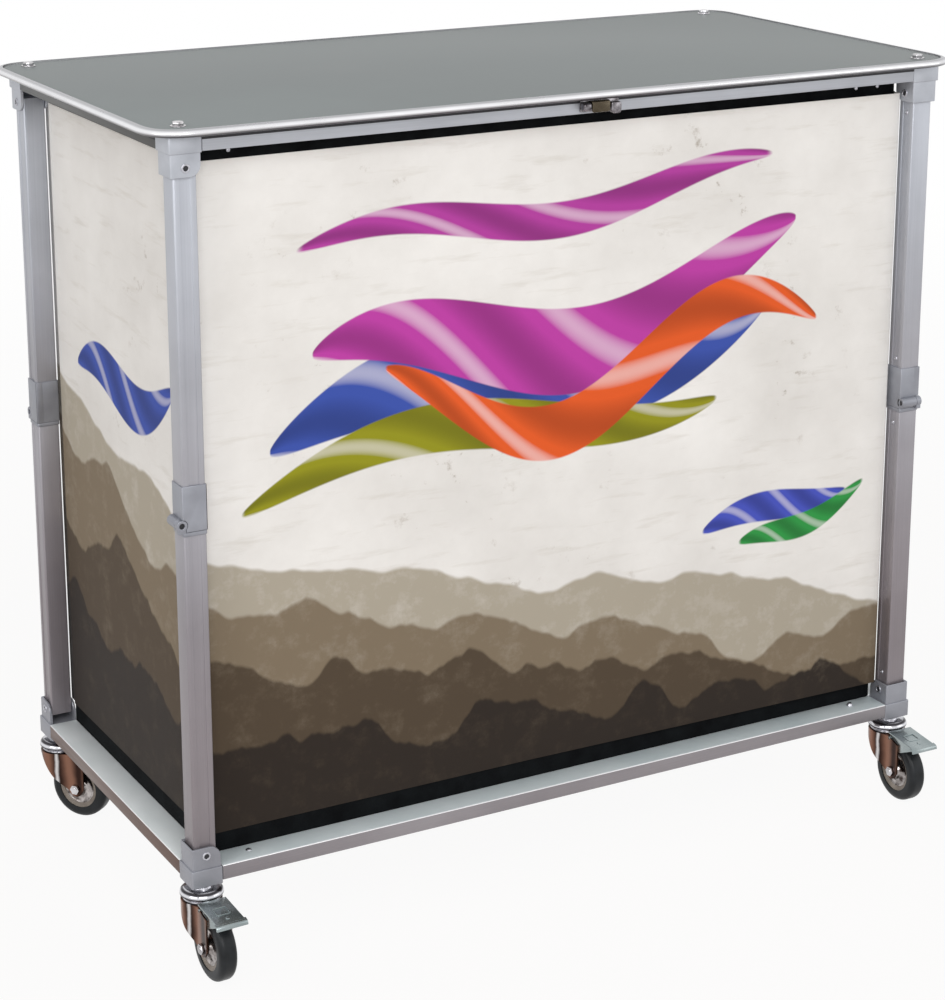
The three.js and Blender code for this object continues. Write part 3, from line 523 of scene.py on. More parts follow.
def extrusion_paint(name, stretch, dull, fresh):
    """Satin anodised aluminium with its drawn lines running the way that stretch is small: darker towards
    the floor and lighter towards the counter by painted shade, with a painted highlight along the upper
    edges of the base."""
    made, tree, paint = blank(name)
    drawn = placed(tree, grain, Stretch=stretch, Breadth=6.0)
    tone = sums(tree, "MULTIPLY_ADD", drawn["Haze"], 0.7, sums(tree, "MULTIPLY", drawn["Line"], 0.3))
    tone = spread(tree, tone, 0.0, 1.0)
    # Painted shade: the darker, warmer tones near the floor, the lighter ones under the counter.
    body = mixed(tree, drawn["Lift"], toned(tree, tone, *dull), toned(tree, tone, *fresh))
    # Painted highlight: a near-white line where the rail's upper edge meets the ledge height.
    height = split(tree, object_spot(tree))[2]
    off_edge = sums(tree, "ABSOLUTE", sums(tree, "SUBTRACT", height, LEDGE_Z))
    edge_highlight = mixed(tree, spread(tree, off_edge, 1.0, 0.0, 0.0007, 0.0012), body, srgb(246, 247, 249))
    feed(tree, paint, {"Base Color": edge_highlight, "Metallic": 0.42,
                       "Roughness": spread(tree, drawn["Line"], 0.3, 0.46),
                       "Normal": bumped(tree, drawn["Line"], 0.06, 0.0003)})
    return made


def insert_paint(name, dark, light):
    """The pale clear-coated insert of a base rail, between two tones."""
    made, tree, paint = blank(name)
    drawn = placed(tree, grain, Stretch=(40.0, 40.0, 40.0), Breadth=9.0)
    feed(tree, paint, {"Base Color": toned(tree, spread(tree, drawn["Haze"], 0.0, 1.0), dark, light),
                       "Metallic": 0.12, "Roughness": spread(tree, drawn["Line"], 0.42, 0.56)})
    return made


# Along Y the paint is a shaded copy: painted warm shade near the floor on the base, painted shadow under
# the counter's rim on top.
RAIL_PAINT = {0: extrusion_paint("extrusion_along_x", (5.0, 900.0, 900.0),
                                 ((130, 125, 129), (151, 147, 151)), ((158, 161, 168), (186, 190, 198))),
              90: extrusion_paint("extrusion_along_y", (900.0, 5.0, 900.0),
                                  ((94, 73, 65), (113, 90, 81)), ((70, 71, 70), (88, 88, 87)))}
# The insert along Y is a lit copy of the one along X, painted lighter to stand in for the light on it.
INSERT_PAINT = {0: insert_paint("ledge_along_x", (196, 208, 211), (214, 222, 224)),
                90: insert_paint("ledge_along_y", (226, 233, 234), (239, 243, 244))}


def pan_screw(radius, height):
    """A domed screw head with a cross slot sunk in it, about Z; the slot is painted dark as shade."""
    profile = eased(((CORE, height), (radius * 0.7, height * 0.86), (radius, 0.0002), (radius, -0.0008),
                     (CORE, -0.0008)), (0.0, radius * 0.3, 0.0003, 0.0002, 0.0), closed=False, steps=3)
    slot = rounded_box(radius * 0.5, radius * 0.13, radius * 0.05, 2)
    slot = prism(slot, height * 0.8, height * 1.02, edge=0.00005)
    cross = slot[..., [1, 0, 2]]
    return [shell(spun(profile, 20), finish=1), shell(slot, finish=2), shell(cross, finish=2)]


def along_rail(shape, half, edge, finish=0):
    """A section carried along X, half its length each way from the middle of a rail."""
    return shell(along_x(prism(shape, -half, half, edge)), finish=finish)


def rail(legs, foot, flange_foot, flange_top):
    """Box and flange of a rail about the middle of its side, with its outer face towards -Y."""
    box = eased(oblong(-RAIL_OUT, RAIL_IN, foot, foot + RAIL_HEIGHT), 0.0009, steps=3)
    flange = eased(oblong(FLANGE_FACE, RAIL_IN, flange_foot, flange_top), 0.0003, steps=2)
    return [along_rail(box, legs - RAIL_END, 0.0004), along_rail(flange, legs - FLANGE_END, 0.0002)]


def insert(legs):
    """The pale insert on top of a base rail, a thin plate between its rounded edges."""
    plate = oblong(0.0014 - RAIL_OUT, FLANGE_FACE - 0.0016, INSERT_BELOW, INSERT_PROUD)
    return along_rail(eased(plate, 0.0001, steps=2), legs - RAIL_END - 0.0002, 0.0001, finish=3)


# The screw at the end where a leg folds down over the rail is low, the other one stands up.
SCREW_SIZES = {-1.0: (0.0040, 0.0017), 1.0: (0.0046, 0.0042)}
for side, (x, y, turn, legs) in SIDES.items():
    made = rail(legs, -RAIL_HEIGHT, -0.002, BASE_FLANGE) + [insert(legs)]
    for way, (radius, height) in SCREW_SIZES.items() if side in ("front", "rear") else ():
        place = (way * (legs - SCREW_IN), SCREW_BACK, INSERT_PROUD)
        made += turned(pan_screw(radius, height), 20 * way, place)
    paints = (RAIL_PAINT[turn % 180], rivet_paint, painted_shade_paint, INSERT_PAINT[turn % 180])
    piece(f"base_extrusion_{side}", turned(made, turn, (x, y, LEDGE_Z)), paints, "base",
          [f"base_rail_{side}"])

# Legs: square tubes of the same extrusion, with a shallow groove down the two faces that the pins
# cross. Each is in two halves that meet at the knee, and blind rivets hold the fittings inside.
LEG_HALF = 0.015
LEG_ROUND = 0.0024
GROOVE_HALF = 0.007
GROOVE_DEPTH = 0.0008
GROOVE_ROUND = 0.0003
BASE_PIN_Z = 0.1592
TOP_PIN_Z = 1.0305
KNEE_Z = 0.59485
SPLIT_Z = 0.58585
BAND_Z = 0.58055
SLEEVE_TOP_Z = 0.64385
PAST_PIN = 0.006
TUBE_HALVES = {
    "lower": (BASE_PIN_Z - PAST_PIN, BAND_Z - 0.0003, (BASE_PIN_Z + 0.026, BAND_Z - 0.018)),
    "upper": (SPLIT_Z + 0.022, TOP_PIN_Z + PAST_PIN, (SLEEVE_TOP_Z + 0.012, TOP_PIN_Z - 0.027))}
leg_paint = extrusion_paint("extrusion_upright", (900.0, 900.0, 5.0),
                            ((128, 121, 125), (149, 143, 148)), ((164, 168, 176), (192, 196, 205)))
grooved_face = ((-LEG_HALF, -LEG_HALF), (-GROOVE_HALF, -LEG_HALF), (-GROOVE_HALF, GROOVE_DEPTH - LEG_HALF),
                (GROOVE_HALF, GROOVE_DEPTH - LEG_HALF), (GROOVE_HALF, -LEG_HALF), (LEG_HALF, -LEG_HALF))
tube_shape = eased(np.concatenate((grooved_face, -np.asarray(grooved_face))),
                   (LEG_ROUND, *(GROOVE_ROUND,) * 4, LEG_ROUND) * 2, steps=3)


def blind_rivet(radius, height):
    """A blind rivet's flat dome with the dimple that its mandrel leaves, about Z."""
    profile = eased(((CORE, height * 0.45), (radius * 0.28, height * 0.5), (radius * 0.34, height),
                     (radius * 0.8, height * 0.75), (radius, 0.0), (radius, -0.0006), (CORE, -0.0006)),
                    (0.0, 0.0001, 0.0001, 0.0004, 0.0002, 0.0001, 0.0), closed=False, steps=2)
    return spun(profile, 18)


tube_rivet = along_y(blind_rivet(0.0030, 0.0011))
for half, (low, high, rivets) in TUBE_HALVES.items():
    tube = [shell(prism(tube_shape, low, high, edge=0.0004))]
    tube += [shell(tube_rivet + (0.0, LEG_HALF - GROOVE_DEPTH, z), finish=1) for z in rivets]
    at_corners(f"{half}_tube", tube, (leg_paint, rivet_paint), half + "_{}",
               f"{half}_leg")

# Knees: cast hinges at mid height. The lower half is a band on a plug in the tube, with a short knuckle
# and the pin; the upper half is a sleeve with the long knuckle and a notch for the short one to swing in.
KNEE_AXIS = -0.017
SLEEVE_HALF = 0.0162
BAND_HALF = 0.0159
BARREL = 0.007
LUG_HALF = 0.005
LUG_END = -0.0088
KNEE_GAP = 0.0005
NOTCH_WALL = 0.0055
NOTCH_REACH = BARREL + 0.0004
BEHIND_HALF = SLEEVE_HALF - 0.00005


def on_knee(rings):
    """A shape drawn about Z, laid along the knee's axis."""
    return along_y(rings) + (KNEE_AXIS, 0.0, KNEE_Z)


def barrel(start, end, hole):
    """A tube along Y with rounded lips, its section a closed loop turned about the pin's axis."""
    return shell(on_knee(spun(eased(oblong(hole, BARREL, start, end), 0.0007, steps=3), 28)), loop=True)


def bar(radius, start, end, chamfer, sides=24):
    """A round bar about Z with chamfered ends."""
    tip = radius - chamfer
    profile = ((CORE, start), (tip, start), (radius, start + chamfer), (radius, end - chamfer), (tip, end),
               (CORE, end))
    return spun(profile, sides)


knee_paint = cast_paint("knee_aluminium", ((130, 131, 139), (150, 152, 161)),
                        ((140, 143, 151), (160, 164, 172)))
band_shape = rounded_box(BAND_HALF, BAND_HALF, 0.0026)
lug_shape = eased(oblong(KNEE_AXIS - LUG_HALF, KNEE_AXIS + LUG_HALF, SPLIT_Z - 0.0013, KNEE_Z - 0.0035),
                  0.0005, steps=2)
bite = np.linspace(-math.acos(NOTCH_WALL / NOTCH_REACH), 0.46 * np.pi, 14)
bite = np.stack((np.cos(bite), np.sin(bite)), axis=1) * NOTCH_REACH + (KNEE_AXIS, KNEE_Z)
front_shape = eased(((-SLEEVE_HALF, SLEEVE_TOP_Z), (SLEEVE_HALF, SLEEVE_TOP_Z), (SLEEVE_HALF, SPLIT_Z),
                     (KNEE_AXIS + NOTCH_WALL, SPLIT_Z)), (0.0, 0.0004, 0.0004, 0.0), closed=False, steps=2)
front_shape = np.concatenate((front_shape, bite))
behind_shape = eased(oblong(-BEHIND_HALF, BEHIND_HALF, LUG_END + KNEE_GAP, SLEEVE_HALF),
                     (0.0002, 0.0002, 0.0020, 0.0020))
lower_half = [shell(prism(band_shape, BAND_Z, SPLIT_Z - 0.0003, edge=0.0007)),
              shell(along_y(prism(lug_shape, 0.0004 - SLEEVE_HALF, LUG_END, edge=0.0003))),
              barrel(-SLEEVE_HALF, LUG_END, 0.0036),
              # The pin is painted dark: painted shade in the barrel's bore.
              shell(on_knee(bar(0.0034, 0.0022 - SLEEVE_HALF, SLEEVE_HALF - 0.0004, 0.0004)), finish=1)]
at_corners("knee_band", lower_half, (knee_paint, painted_shade_paint), "lower_{}", "lower_knee")
upper_half = [shell(along_y(prism(front_shape, -SLEEVE_HALF, LUG_END + 0.0030, edge=0.0011, steps=3))),
              shell(prism(behind_shape, SPLIT_Z, SLEEVE_TOP_Z, edge=0.0005)),
              barrel(LUG_END + KNEE_GAP, SLEEVE_HALF, 0.0037)]
at_corners("knee_sleeve", upper_half, (knee_paint,), "upper_{}", "upper_knee")

# Castings and rails of the counter: the same corner castings upside down under the panel, and the same
# extrusions with the flange hanging down for the upper hook strip. A dark strip along their top is painted
# shadow under the rim, taller on the sides.
TOP_SEAT_Z = 1.0687
TOP_BLOCK = 0.021
TOP_RAIL_Z = 1.0492
TOP_FLANGE = 0.027
SHADOW_STRIP_PROUD = 0.0004
SHADOW_STRIP_HEIGHT = {0: 0.0056, 90: 0.0095}

upended = [(points * (1.0, -1.0, -1.0), *rest) for points, *rest in casting(TOP_BLOCK)]
at_corners("top_casting", upended, CASTING_PAINTS, "counter", "top_corner", TOP_SEAT_Z)
for side, (x, y, turn, legs) in SIDES.items():
    made = rail(legs, 0.0, -TOP_FLANGE, 0.002)
    half = SHADOW_STRIP_HEIGHT[turn % 180] / 2
    # A thin dark strip on the rail's outer face just under the rim: painted shadow.
    shadow_strip = rounded_box(SHADOW_STRIP_PROUD, half, 0.00015, 2) + (-RAIL_OUT, RAIL_HEIGHT - half)
    made.append(along_rail(shadow_strip, legs - RAIL_END, 0.0001, finish=1))
    piece(f"top_extrusion_{side}", turned(made, turn, (x, y, TOP_RAIL_Z)),
          (RAIL_PAINT[turn % 180], painted_shade_paint), "counter", [f"top_rail_{side}"])

# Hook strips: black woven tape glued and riveted to the flanges along three sides. The cloth's hems
# press onto it, and a narrow band of it shows above and below the cloth.
STRIP_INSET = 0.0182
STRIP_THICKNESS = 0.0012
STRIP_ROUND = 0.0100
STRIP_END = 0.236
BEND_STEPS = 6
STRIPS = {"base": ("base", 0.1423, 0.1723), "top": ("counter", 1.0225, 1.0489)}
TOP_RIVET_Z = 1.0400
STRIP_RIVETS = {"base": (), "top": (-0.470, 0.452, 0.488)}


def wrap_path(inset, radius, spacing):
    """Path along the left side, the front and the right side, seen from above: straight runs and two
    quarter circles, as points, outward normals and the distance gone, from the front's left corner."""
    x, y = LEG_X - inset, LEG_Y - inset
    side_run, front_run = STRIP_END + y - radius, 2 * (x - radius)
    bend = np.pi / 2 * radius
    edges = np.cumsum((0.0, side_run, bend, front_run, bend, side_run))
    side_steps, front_steps = round((STRIP_END + y) / spacing), round(2 * x / spacing)
    counts = (side_steps, BEND_STEPS, front_steps, BEND_STEPS, side_steps)
    spans = [np.linspace(a, b, n, endpoint=False) for a, b, n in zip(edges, edges[1:], counts)]
    gone = np.concatenate(spans + [edges[-1:]])
    angle = np.pi + (np.clip(gone - edges[1], 0.0, bend) + np.clip(gone - edges[3], 0.0, bend)) / radius
    out = np.stack((np.cos(angle), np.sin(angle)), axis=1)
    middle_x = np.clip(gone - edges[2], 0.0, front_run) - x + radius
    middle_y = STRIP_END - np.clip(gone, 0.0, side_run) + np.clip(gone - edges[4], 0.0, side_run)
    return np.stack((middle_x, middle_y), axis=1) + out * radius, out, gone - edges[1]


def tape(low, high):
    """A flat band on edge, its rounded section carried along the wrap's path."""
    path, out, _ = wrap_path(STRIP_INSET, STRIP_ROUND, 0.012)
    section = eased(oblong(-STRIP_THICKNESS, 0.0, low, high), 0.0003, steps=2)
    return shell(raised(path[:, None] + out[:, None] * section[None, :, :1], section[None, :, 1:]))


hook_paint, tree, paint = blank("black_hook_tape")
spot = object_spot(tree)
hooks = node(tree, "TexVoronoi", {"Vector": spot, "Scale": 950.0}).outputs["Distance"]
fluff = spread(tree, noise(tree, spot, 34.0, 4.0), 0.0, 1.0)
feed(tree, paint, {"Base Color": toned(tree, fluff, (5, 6, 8), (17, 20, 22)),
                   "Roughness": spread(tree, hooks, 0.8, 1.0, 0.0, 0.6),
                   "Normal": bumped(tree, hooks, 0.5, 0.0006), "Specular IOR Level": 0.12})
strip_rivet = along_y(blind_rivet(0.0028, 0.0010) * (1.0, 1.0, -1.0))
for name, (body, low, high) in STRIPS.items():
    made = [tape(low, high)]
    for x in STRIP_RIVETS[name]:
        made.append(shell(strip_rivet + (x, STRIP_INSET - LEG_Y, TOP_RIVET_Z), finish=1))
    piece(f"{name}_tape", made, (hook_paint, rivet_paint), body, [f"{name}_hook_strip"])

# Printed cloth: one piece of taut polyester round the left side, the front and the right side, pressed
# onto the hook strips by its hems. Its left end laps behind the rear leg, inwards of the castings.
CLOTH_INSET = 0.0173
CLOTH_THICKNESS = 0.0006
CLOTH_ROUND = 0.0060
CLOTH_FOOT = 0.168
CLOTH_TOP = 1.0297
CLOTH_HEIGHT = CLOTH_TOP - CLOTH_FOOT
CLOTH_ROWS = 72
LAP_STEPS = np.array(((0.0220, 0.0034), (0.0036, 0.0034), (0.0008, 0.0)))
RIPPLE = 0.00025
PULL = 0.0103
PULL_FROM = -0.060
PULL_TO = 0.5167
PULLED_CORNER = ((0.5188, -0.2515), (0.5200, -0.2497), (0.5203, -0.2450), (0.5203, -0.2398),
                 (0.5213, -0.2370))
HEM = 0.016
STITCH = 0.0045
YARN_PITCH = 0.0008


def smooth_step(low, high, value):
    """0 below low, 1 above high, and three squares of the share less two cubes of it between them."""
    t = np.clip((value - low) / (high - low), 0.0, 1.0)
    return t * t * (3 - 2 * t)


def cloth_grid():
    """Outer and inner face of the cloth as one closed grid. Every row is the wrap's path at one height.
    Its left end goes on by the lap's steps, which also lead it inwards past the casting's cheek, and slow
    sine ripples push the middle in. The front comes forward in a straight slope towards its right corner,
    up to the leg there."""
    path, out, gone = wrap_path(CLOTH_INSET, CLOTH_ROUND, 0.0085)
    added = len(LAP_STEPS)
    path, out, gone = (np.concatenate((np.repeat(a[:1], added, axis=0), a)) for a in (path, out, gone))
    beyond, inward = np.concatenate((LAP_STEPS, np.zeros((len(path) - added, 2)))).T
    z = CLOTH_FOOT + CLOTH_HEIGHT * np.linspace(0.0, 1.0, CLOTH_ROWS)
    free = smooth_step(0.02, 0.16, np.minimum(z - CLOTH_FOOT, CLOTH_TOP - z))
    straight = np.abs(out).max(axis=1) > 0.999
    wave = 0.5 - 0.5 * np.cos(gone[None] * 27.0 + 1.3 * np.sin(z[:, None] * 6.0))
    depth = RIPPLE * wave * free[:, None] * straight[None] + inward[None]
    pulled = path.copy()
    on_front = out[:, 1] < -0.9999
    right_bend = (out[:, 0] > 0.0001) & (out[:, 1] < -0.0001) & ~on_front
    slope = (path[on_front, 0] - PULL_FROM) / (PULL_TO - PULL_FROM)
    pulled[on_front, 1] -= PULL * np.clip(slope, 0.0, 1.0)
    pulled[right_bend] = PULLED_CORNER
    plan = pulled[None] - out[None] * depth[..., None]
    plan[..., 1] += beyond
    outer = raised(plan, z[:, None, None])
    inner = outer - raised(out, 0.0)[None] * CLOTH_THICKNESS
    uv = np.stack(np.meshgrid(gone - beyond, z - CLOTH_FOOT), axis=-1)
    both_faces = np.concatenate((outer, inner[:, ::-1]), axis=1)
    return both_faces, np.concatenate((uv, uv[:, ::-1]), axis=1), len(path)


def face_step(tree, value, edge, soft):
    """0 below an edge and 1 above it, over a soft width."""
    low, high = (sums(tree, way, edge, soft) for way in ("SUBTRACT", "ADD"))
    ramp = {"Value": value, "From Min": low, "From Max": high}
    return node(tree, "MapRange", ramp, interpolation_type="SMOOTHSTEP").outputs[0]


def on_cloth(tree):
    """Where a point lies on the flat cloth, in metres along it and up it."""
    return node(tree, "UVMap", uv_map="cloth").outputs[0]


# Ridge is a rolling skyline: 1 below a line that rises and falls slowly along the cloth.
RIDGE = {"Height": 0.2, "Swell": 0.06, "Pace": 4.0, "Start": 0.0, "Lean": 0.0}
ridge, given, result = effect("Ridge", RIDGE, ("Mask",))
plane = split(ridge, on_cloth(ridge))
step = sums(ridge, "MULTIPLY_ADD", plane[0], given["Pace"], given["Start"])
roll = {"W": step, "Scale": 1.0, "Detail": 4.0, "Roughness": 0.42}
roll = node(ridge, "TexNoise", roll, noise_dimensions="1D").outputs["Fac"]
crest = sums(ridge, "MULTIPLY_ADD", sums(ridge, "SUBTRACT", roll, 0.5), given["Swell"], given["Height"])
crest = sums(ridge, "MULTIPLY_ADD", plane[0], given["Lean"], crest)
feed(ridge, result, {"Mask": sums(ridge, "SUBTRACT", 1.0, face_step(ridge, plane[1], crest, 0.0035))})

# Ribbon is a flowing band with pointed ends: its middle line is a slope plus one sine wave, and its
# half width is Width times a power of sin(pi t), near its square root.
RIBBON = {"From": 0.1, "Length": 0.6, "Height": 0.5, "Slope": 0.0, "Wave": 0.05, "Turns": 1.0,
          "Phase": 0.0, "Width": 0.05}
ribbon, given, result = effect("Ribbon", RIBBON, ("Mask", "Across", "Along"))
plane = split(ribbon, on_cloth(ribbon))
t = sums(ribbon, "SUBTRACT", plane[0], given["From"])
t = sums(ribbon, "DIVIDE", t, given["Length"], clamp=True)
swing = sums(ribbon, "MULTIPLY", t, given["Turns"])
swing = sums(ribbon, "SINE", sums(ribbon, "MULTIPLY_ADD", swing, 2 * math.pi, given["Phase"]))
middle = sums(ribbon, "MULTIPLY_ADD", t, given["Slope"], given["Height"])
middle = sums(ribbon, "MULTIPLY_ADD", swing, given["Wave"], middle)
reach = sums(ribbon, "SINE", sums(ribbon, "MULTIPLY", t, math.pi), clamp=True)
half_width = sums(ribbon, "MULTIPLY", sums(ribbon, "POWER", reach, 0.55), given["Width"])
off = sums(ribbon, "SUBTRACT", plane[1], middle)
beyond = face_step(ribbon, sums(ribbon, "ABSOLUTE", off), half_width, 0.0016)
inside = sums(ribbon, "SUBTRACT", 1.0, beyond)
mask = sums(ribbon, "MULTIPLY", inside, face_step(ribbon, half_width, 0.003, 0.002))
aside = sums(ribbon, "DIVIDE", off, sums(ribbon, "MAXIMUM", half_width, 0.002))
feed(ribbon, result, {"Mask": mask, "Across": aside, "Along": t})

# Weave is the over and under of the yarns, as a product of two sines.
weave, given, result = effect("Weave", {"Pitch": YARN_PITCH}, ("Yarn",))
plane = split(weave, on_cloth(weave))
turns = sums(weave, "DIVIDE", 2 * math.pi, given["Pitch"])
warp, weft = (sums(weave, "SINE", sums(weave, "MULTIPLY", plane[i], turns)) for i in (0, 1))
feed(weave, result, {"Yarn": sums(weave, "MULTIPLY_ADD", sums(weave, "MULTIPLY", warp, weft), 0.5, 0.5)})

# The print: a blotched and trowelled pale ground, four rows of hills and flowing ribbons over them.
RIDGES = (((0.37, 0.16, 3.2, 2.0, -0.22), (172, 165, 150)),
          ((0.30, 0.18, 4.4, 9.0, -0.22), (126, 113, 94)),
          ((0.22, 0.16, 6.0, 17.0, -0.18), (78, 66, 52)),
          ((0.12, 0.13, 8.0, 31.0, -0.10), (40, 32, 26)))
RIBBONS = (((0.14, 0.70, 0.735, 0.045, 0.020, 1.3, 0.2, 0.024), (176, 62, 158)),
           ((0.10, 0.74, 0.47, 0.14, 0.050, 0.9, 0.4, 0.062), (58, 82, 170)),
           ((0.16, 0.72, 0.56, 0.10, 0.052, 1.0, 1.1, 0.058), (186, 62, 164)),
           ((0.06, 0.70, 0.41, 0.10, 0.044, 0.8, 0.1, 0.034), (146, 146, 26)),
           ((0.26, 0.66, 0.52, 0.02, 0.070, 1.1, 2.2, 0.040), (226, 92, 36)),
           ((0.74, 0.24, 0.27, 0.05, 0.016, 0.7, 0.6, 0.022), (70, 84, 190)),
           ((0.80, 0.21, 0.24, 0.07, 0.014, 0.8, 1.6, 0.018), (46, 150, 70)),
           ((-0.40, 0.34, 0.50, 0.06, 0.030, 0.9, 0.8, 0.034), (58, 82, 170)),
           ((1.10, 0.34, 0.46, 0.05, 0.030, 0.9, 0.3, 0.034), (226, 92, 36)))
GLINT = (0.92, 0.9, 0.92, 1.0)
cloth_paint, tree, paint = blank("printed_cloth")
sheet_uv = on_cloth(tree)
blotch = noise(tree, sheet_uv, 3.2, 7.0, 0.62)
fleck = noise(tree, sheet_uv, 26.0, 6.0, 0.7)
swept = {"Vector": sheet_uv, "Rotation": (0.0, 0.0, 0.5), "Scale": (9.0, 60.0, 1.0)}
trowel = noise(tree, node(tree, "Mapping", swept).outputs[0], 1.0, 4.0, 0.6)
colour = toned(tree, spread(tree, blotch, 0.0, 1.0, 0.35, 0.68), (223, 222, 219), (243, 243, 241))
colour = mixed(tree, spread(tree, trowel, 0.0, 0.4, 0.56, 0.74), colour, srgb(201, 197, 188))
clustered = spread(tree, blotch, 1.0, 0.0, 0.36, 0.5)
clustered = sums(tree, "MULTIPLY", spread(tree, fleck, 0.0, 0.8, 0.6, 0.68), clustered)
colour = mixed(tree, clustered, colour, srgb(128, 112, 88))
for values, tone in RIDGES:
    hill = placed(tree, ridge, **dict(zip(RIDGE, values)))["Mask"]
    worn = sums(tree, "MULTIPLY", hill, spread(tree, fleck, 1.0, 0.72, 0.5, 0.75))
    colour = mixed(tree, worn, colour, srgb(*tone))
for values, tone in RIBBONS:
    band = placed(tree, ribbon, **dict(zip(RIBBON, values)))
    slant = sums(tree, "MULTIPLY", band["Across"], 1.9)
    fold = sums(tree, "SINE", sums(tree, "MULTIPLY_ADD", band["Along"], 19.0, slant))
    lit = srgb(*tone)
    shaded = (*(0.32 * c for c in lit[:3]), 1.0)
    tint = mixed(tree, spread(tree, fold, 0.0, 0.55, -0.2, 1.0), lit, shaded)
    shine = spread(tree, sums(tree, "MULTIPLY", fold, -1.0), 0.0, 0.4, 0.7, 1.0)
    colour = mixed(tree, band["Mask"], colour, mixed(tree, shine, tint, GLINT))
yarn = placed(tree, weave, Pitch=YARN_PITCH)["Yarn"]
along_hem, height, _ = split(tree, sheet_uv)
from_hem = sums(tree, "MINIMUM", height, sums(tree, "SUBTRACT", CLOTH_HEIGHT, height))
off_row = sums(tree, "ABSOLUTE", sums(tree, "SUBTRACT", from_hem, HEM))
stitch_row = sums(tree, "SUBTRACT", 1.0, face_step(tree, off_row, 0.0006, 0.0004))
beat = sums(tree, "SINE", sums(tree, "MULTIPLY", along_hem, 2 * math.pi / STITCH))
stitch = sums(tree, "MULTIPLY", stitch_row, face_step(tree, beat, -0.2, 0.2))
relief = sums(tree, "MULTIPLY_ADD", stitch, -0.8, yarn)
feed(tree, paint, {"Base Color": colour, "Roughness": spread(tree, yarn, 0.72, 0.88, 0.0, 1.0),
                   "Normal": bumped(tree, relief, 0.16, 0.0003), "Sheen Weight": 0.05,
                   "Specular IOR Level": 0.25})

lining_paint, tree, paint = blank("cloth_lining")
shadow = spread(tree, noise(tree, on_cloth(tree), 5.0, 4.0), 0.0, 1.0)
yarn = placed(tree, weave, Pitch=YARN_PITCH)["Yarn"]
feed(tree, paint, {"Base Color": toned(tree, shadow, (216, 214, 208), (232, 231, 227)),
                   "Roughness": spread(tree, yarn, 0.78, 0.92, 0.0, 1.0),
                   "Normal": bumped(tree, yarn, 0.16, 0.0003), "Specular IOR Level": 0.2})


def mapped(made, name, spots):
    """A UV map from one spot for every point of a piece."""
    corner_of = np.zeros(len(made.data.loops), np.int32)
    made.data.loops.foreach_get("vertex_index", corner_of)
    made.data.uv_layers.new(name=name).data.foreach_set("uv", spots[corner_of].ravel())


grid, cloth_uv, columns = cloth_grid()
cloth_shell = shell(grid)
cloth = piece("cloth_wrap", [cloth_shell], (cloth_paint, lining_paint), "base",
              ["fabric_wrap"], sharp=60.0)
mapped(cloth, "cloth", cloth_uv.reshape(-1, 2))
_, quads, caps, _ = cloth_shell
lined = (quads % grid.shape[1] >= columns).all(axis=1)
lined = np.concatenate((lined, np.zeros(len(caps), bool)))
cloth.data.polygons.foreach_set("material_index", lined.astype(np.int32))
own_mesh(cloth)

# Counter: a laminated panel let into a bright half-round rim, bolted down through the corner castings
# by four hex bolts on washers.
PANEL_Z = 1.069
COUNTER_Z = 1.077
COUNTER_X = 0.5870
COUNTER_Y = 0.2985
COUNTER_ROUND = 0.060
RIM_WIDTH = 0.009
RIM_FOOT = 1.0685
RIM_TOP = 1.0785
PANEL_EDGE = RIM_WIDTH + 0.0011
BOLT_TURN = {"front_left": 12, "front_right": 41, "rear_right": 20, "rear_left": 53}

laminate_paint, tree, paint = blank("grey_laminate")
spot = object_spot(tree)
cloud = noise(tree, spot, 2.6, 5.0)
pebble = noise(tree, spot, 1400.0)
tone = sums(tree, "MULTIPLY_ADD", cloud, 0.75, sums(tree, "MULTIPLY", pebble, 0.25))
tone = spread(tree, tone, 0.0, 1.0, 0.38, 0.62)
feed(tree, paint, {"Base Color": toned(tree, tone, (118, 124, 124), (132, 138, 138)),
                   "Roughness": spread(tree, cloud, 0.42, 0.54),
                   "Normal": bumped(tree, pebble, 0.1, 0.0003), "Specular IOR Level": 0.4})
panel_shape = rounded_box(COUNTER_X - PANEL_EDGE, COUNTER_Y - PANEL_EDGE, COUNTER_ROUND - PANEL_EDGE, 14)
piece("laminate_panel", [shell(prism(panel_shape, PANEL_Z, COUNTER_Z))], (laminate_paint,), "counter",
      ["counter_panel"])

rim_paint, tree, paint = blank("bright_aluminium")
haze = placed(tree, grain, Stretch=(6.0, 6.0, 900.0), Breadth=9.0)["Haze"]
height = split(tree, object_spot(tree))[2]
# Painted light: a pale highlight band, painted shade on the rim's lower half and a grey line on its top
# edge.
pale = toned(tree, spread(tree, haze, 0.0, 1.0), (224, 224, 227), (244, 244, 246))
half_round = mixed(tree, spread(tree, height, 0.0, 1.0, 1.0708, 1.0742), srgb(84, 82, 86), pale)
top_edge = spread(tree, height, 0.0, 0.8, 1.0764, 1.0780)
feed(tree, paint, {"Base Color": mixed(tree, top_edge, half_round, srgb(150, 150, 154)), "Metallic": 0.8,
                   "Roughness": spread(tree, haze, 0.24, 0.34)})


def half_round_rim():
    """A half-round section carried round the counter: at angle a it stands RIM_WIDTH*(cos a)**0.8 out from
    the panel's edge and half its height*sin a from its middle, with a flat back."""
    a = np.linspace(-np.pi / 2, np.pi / 2, 13)
    out = RIM_WIDTH * np.cos(a) ** 0.8 - RIM_WIDTH
    lift = (RIM_TOP + RIM_FOOT) / 2 + (RIM_TOP - RIM_FOOT) / 2 * np.sin(a)
    path = rounded_box(COUNTER_X, COUNTER_Y, COUNTER_ROUND, 16)
    forward = np.roll(path, -1, axis=0) - np.roll(path, 1, axis=0)
    normal = np.stack((forward[:, 1], -forward[:, 0]), axis=1)
    normal /= np.linalg.norm(normal, axis=1, keepdims=True)
    flat = path[:, None] + normal[:, None] * out[None, :, None]
    return shell(raised(flat, lift[None, :, None]), loop=True)


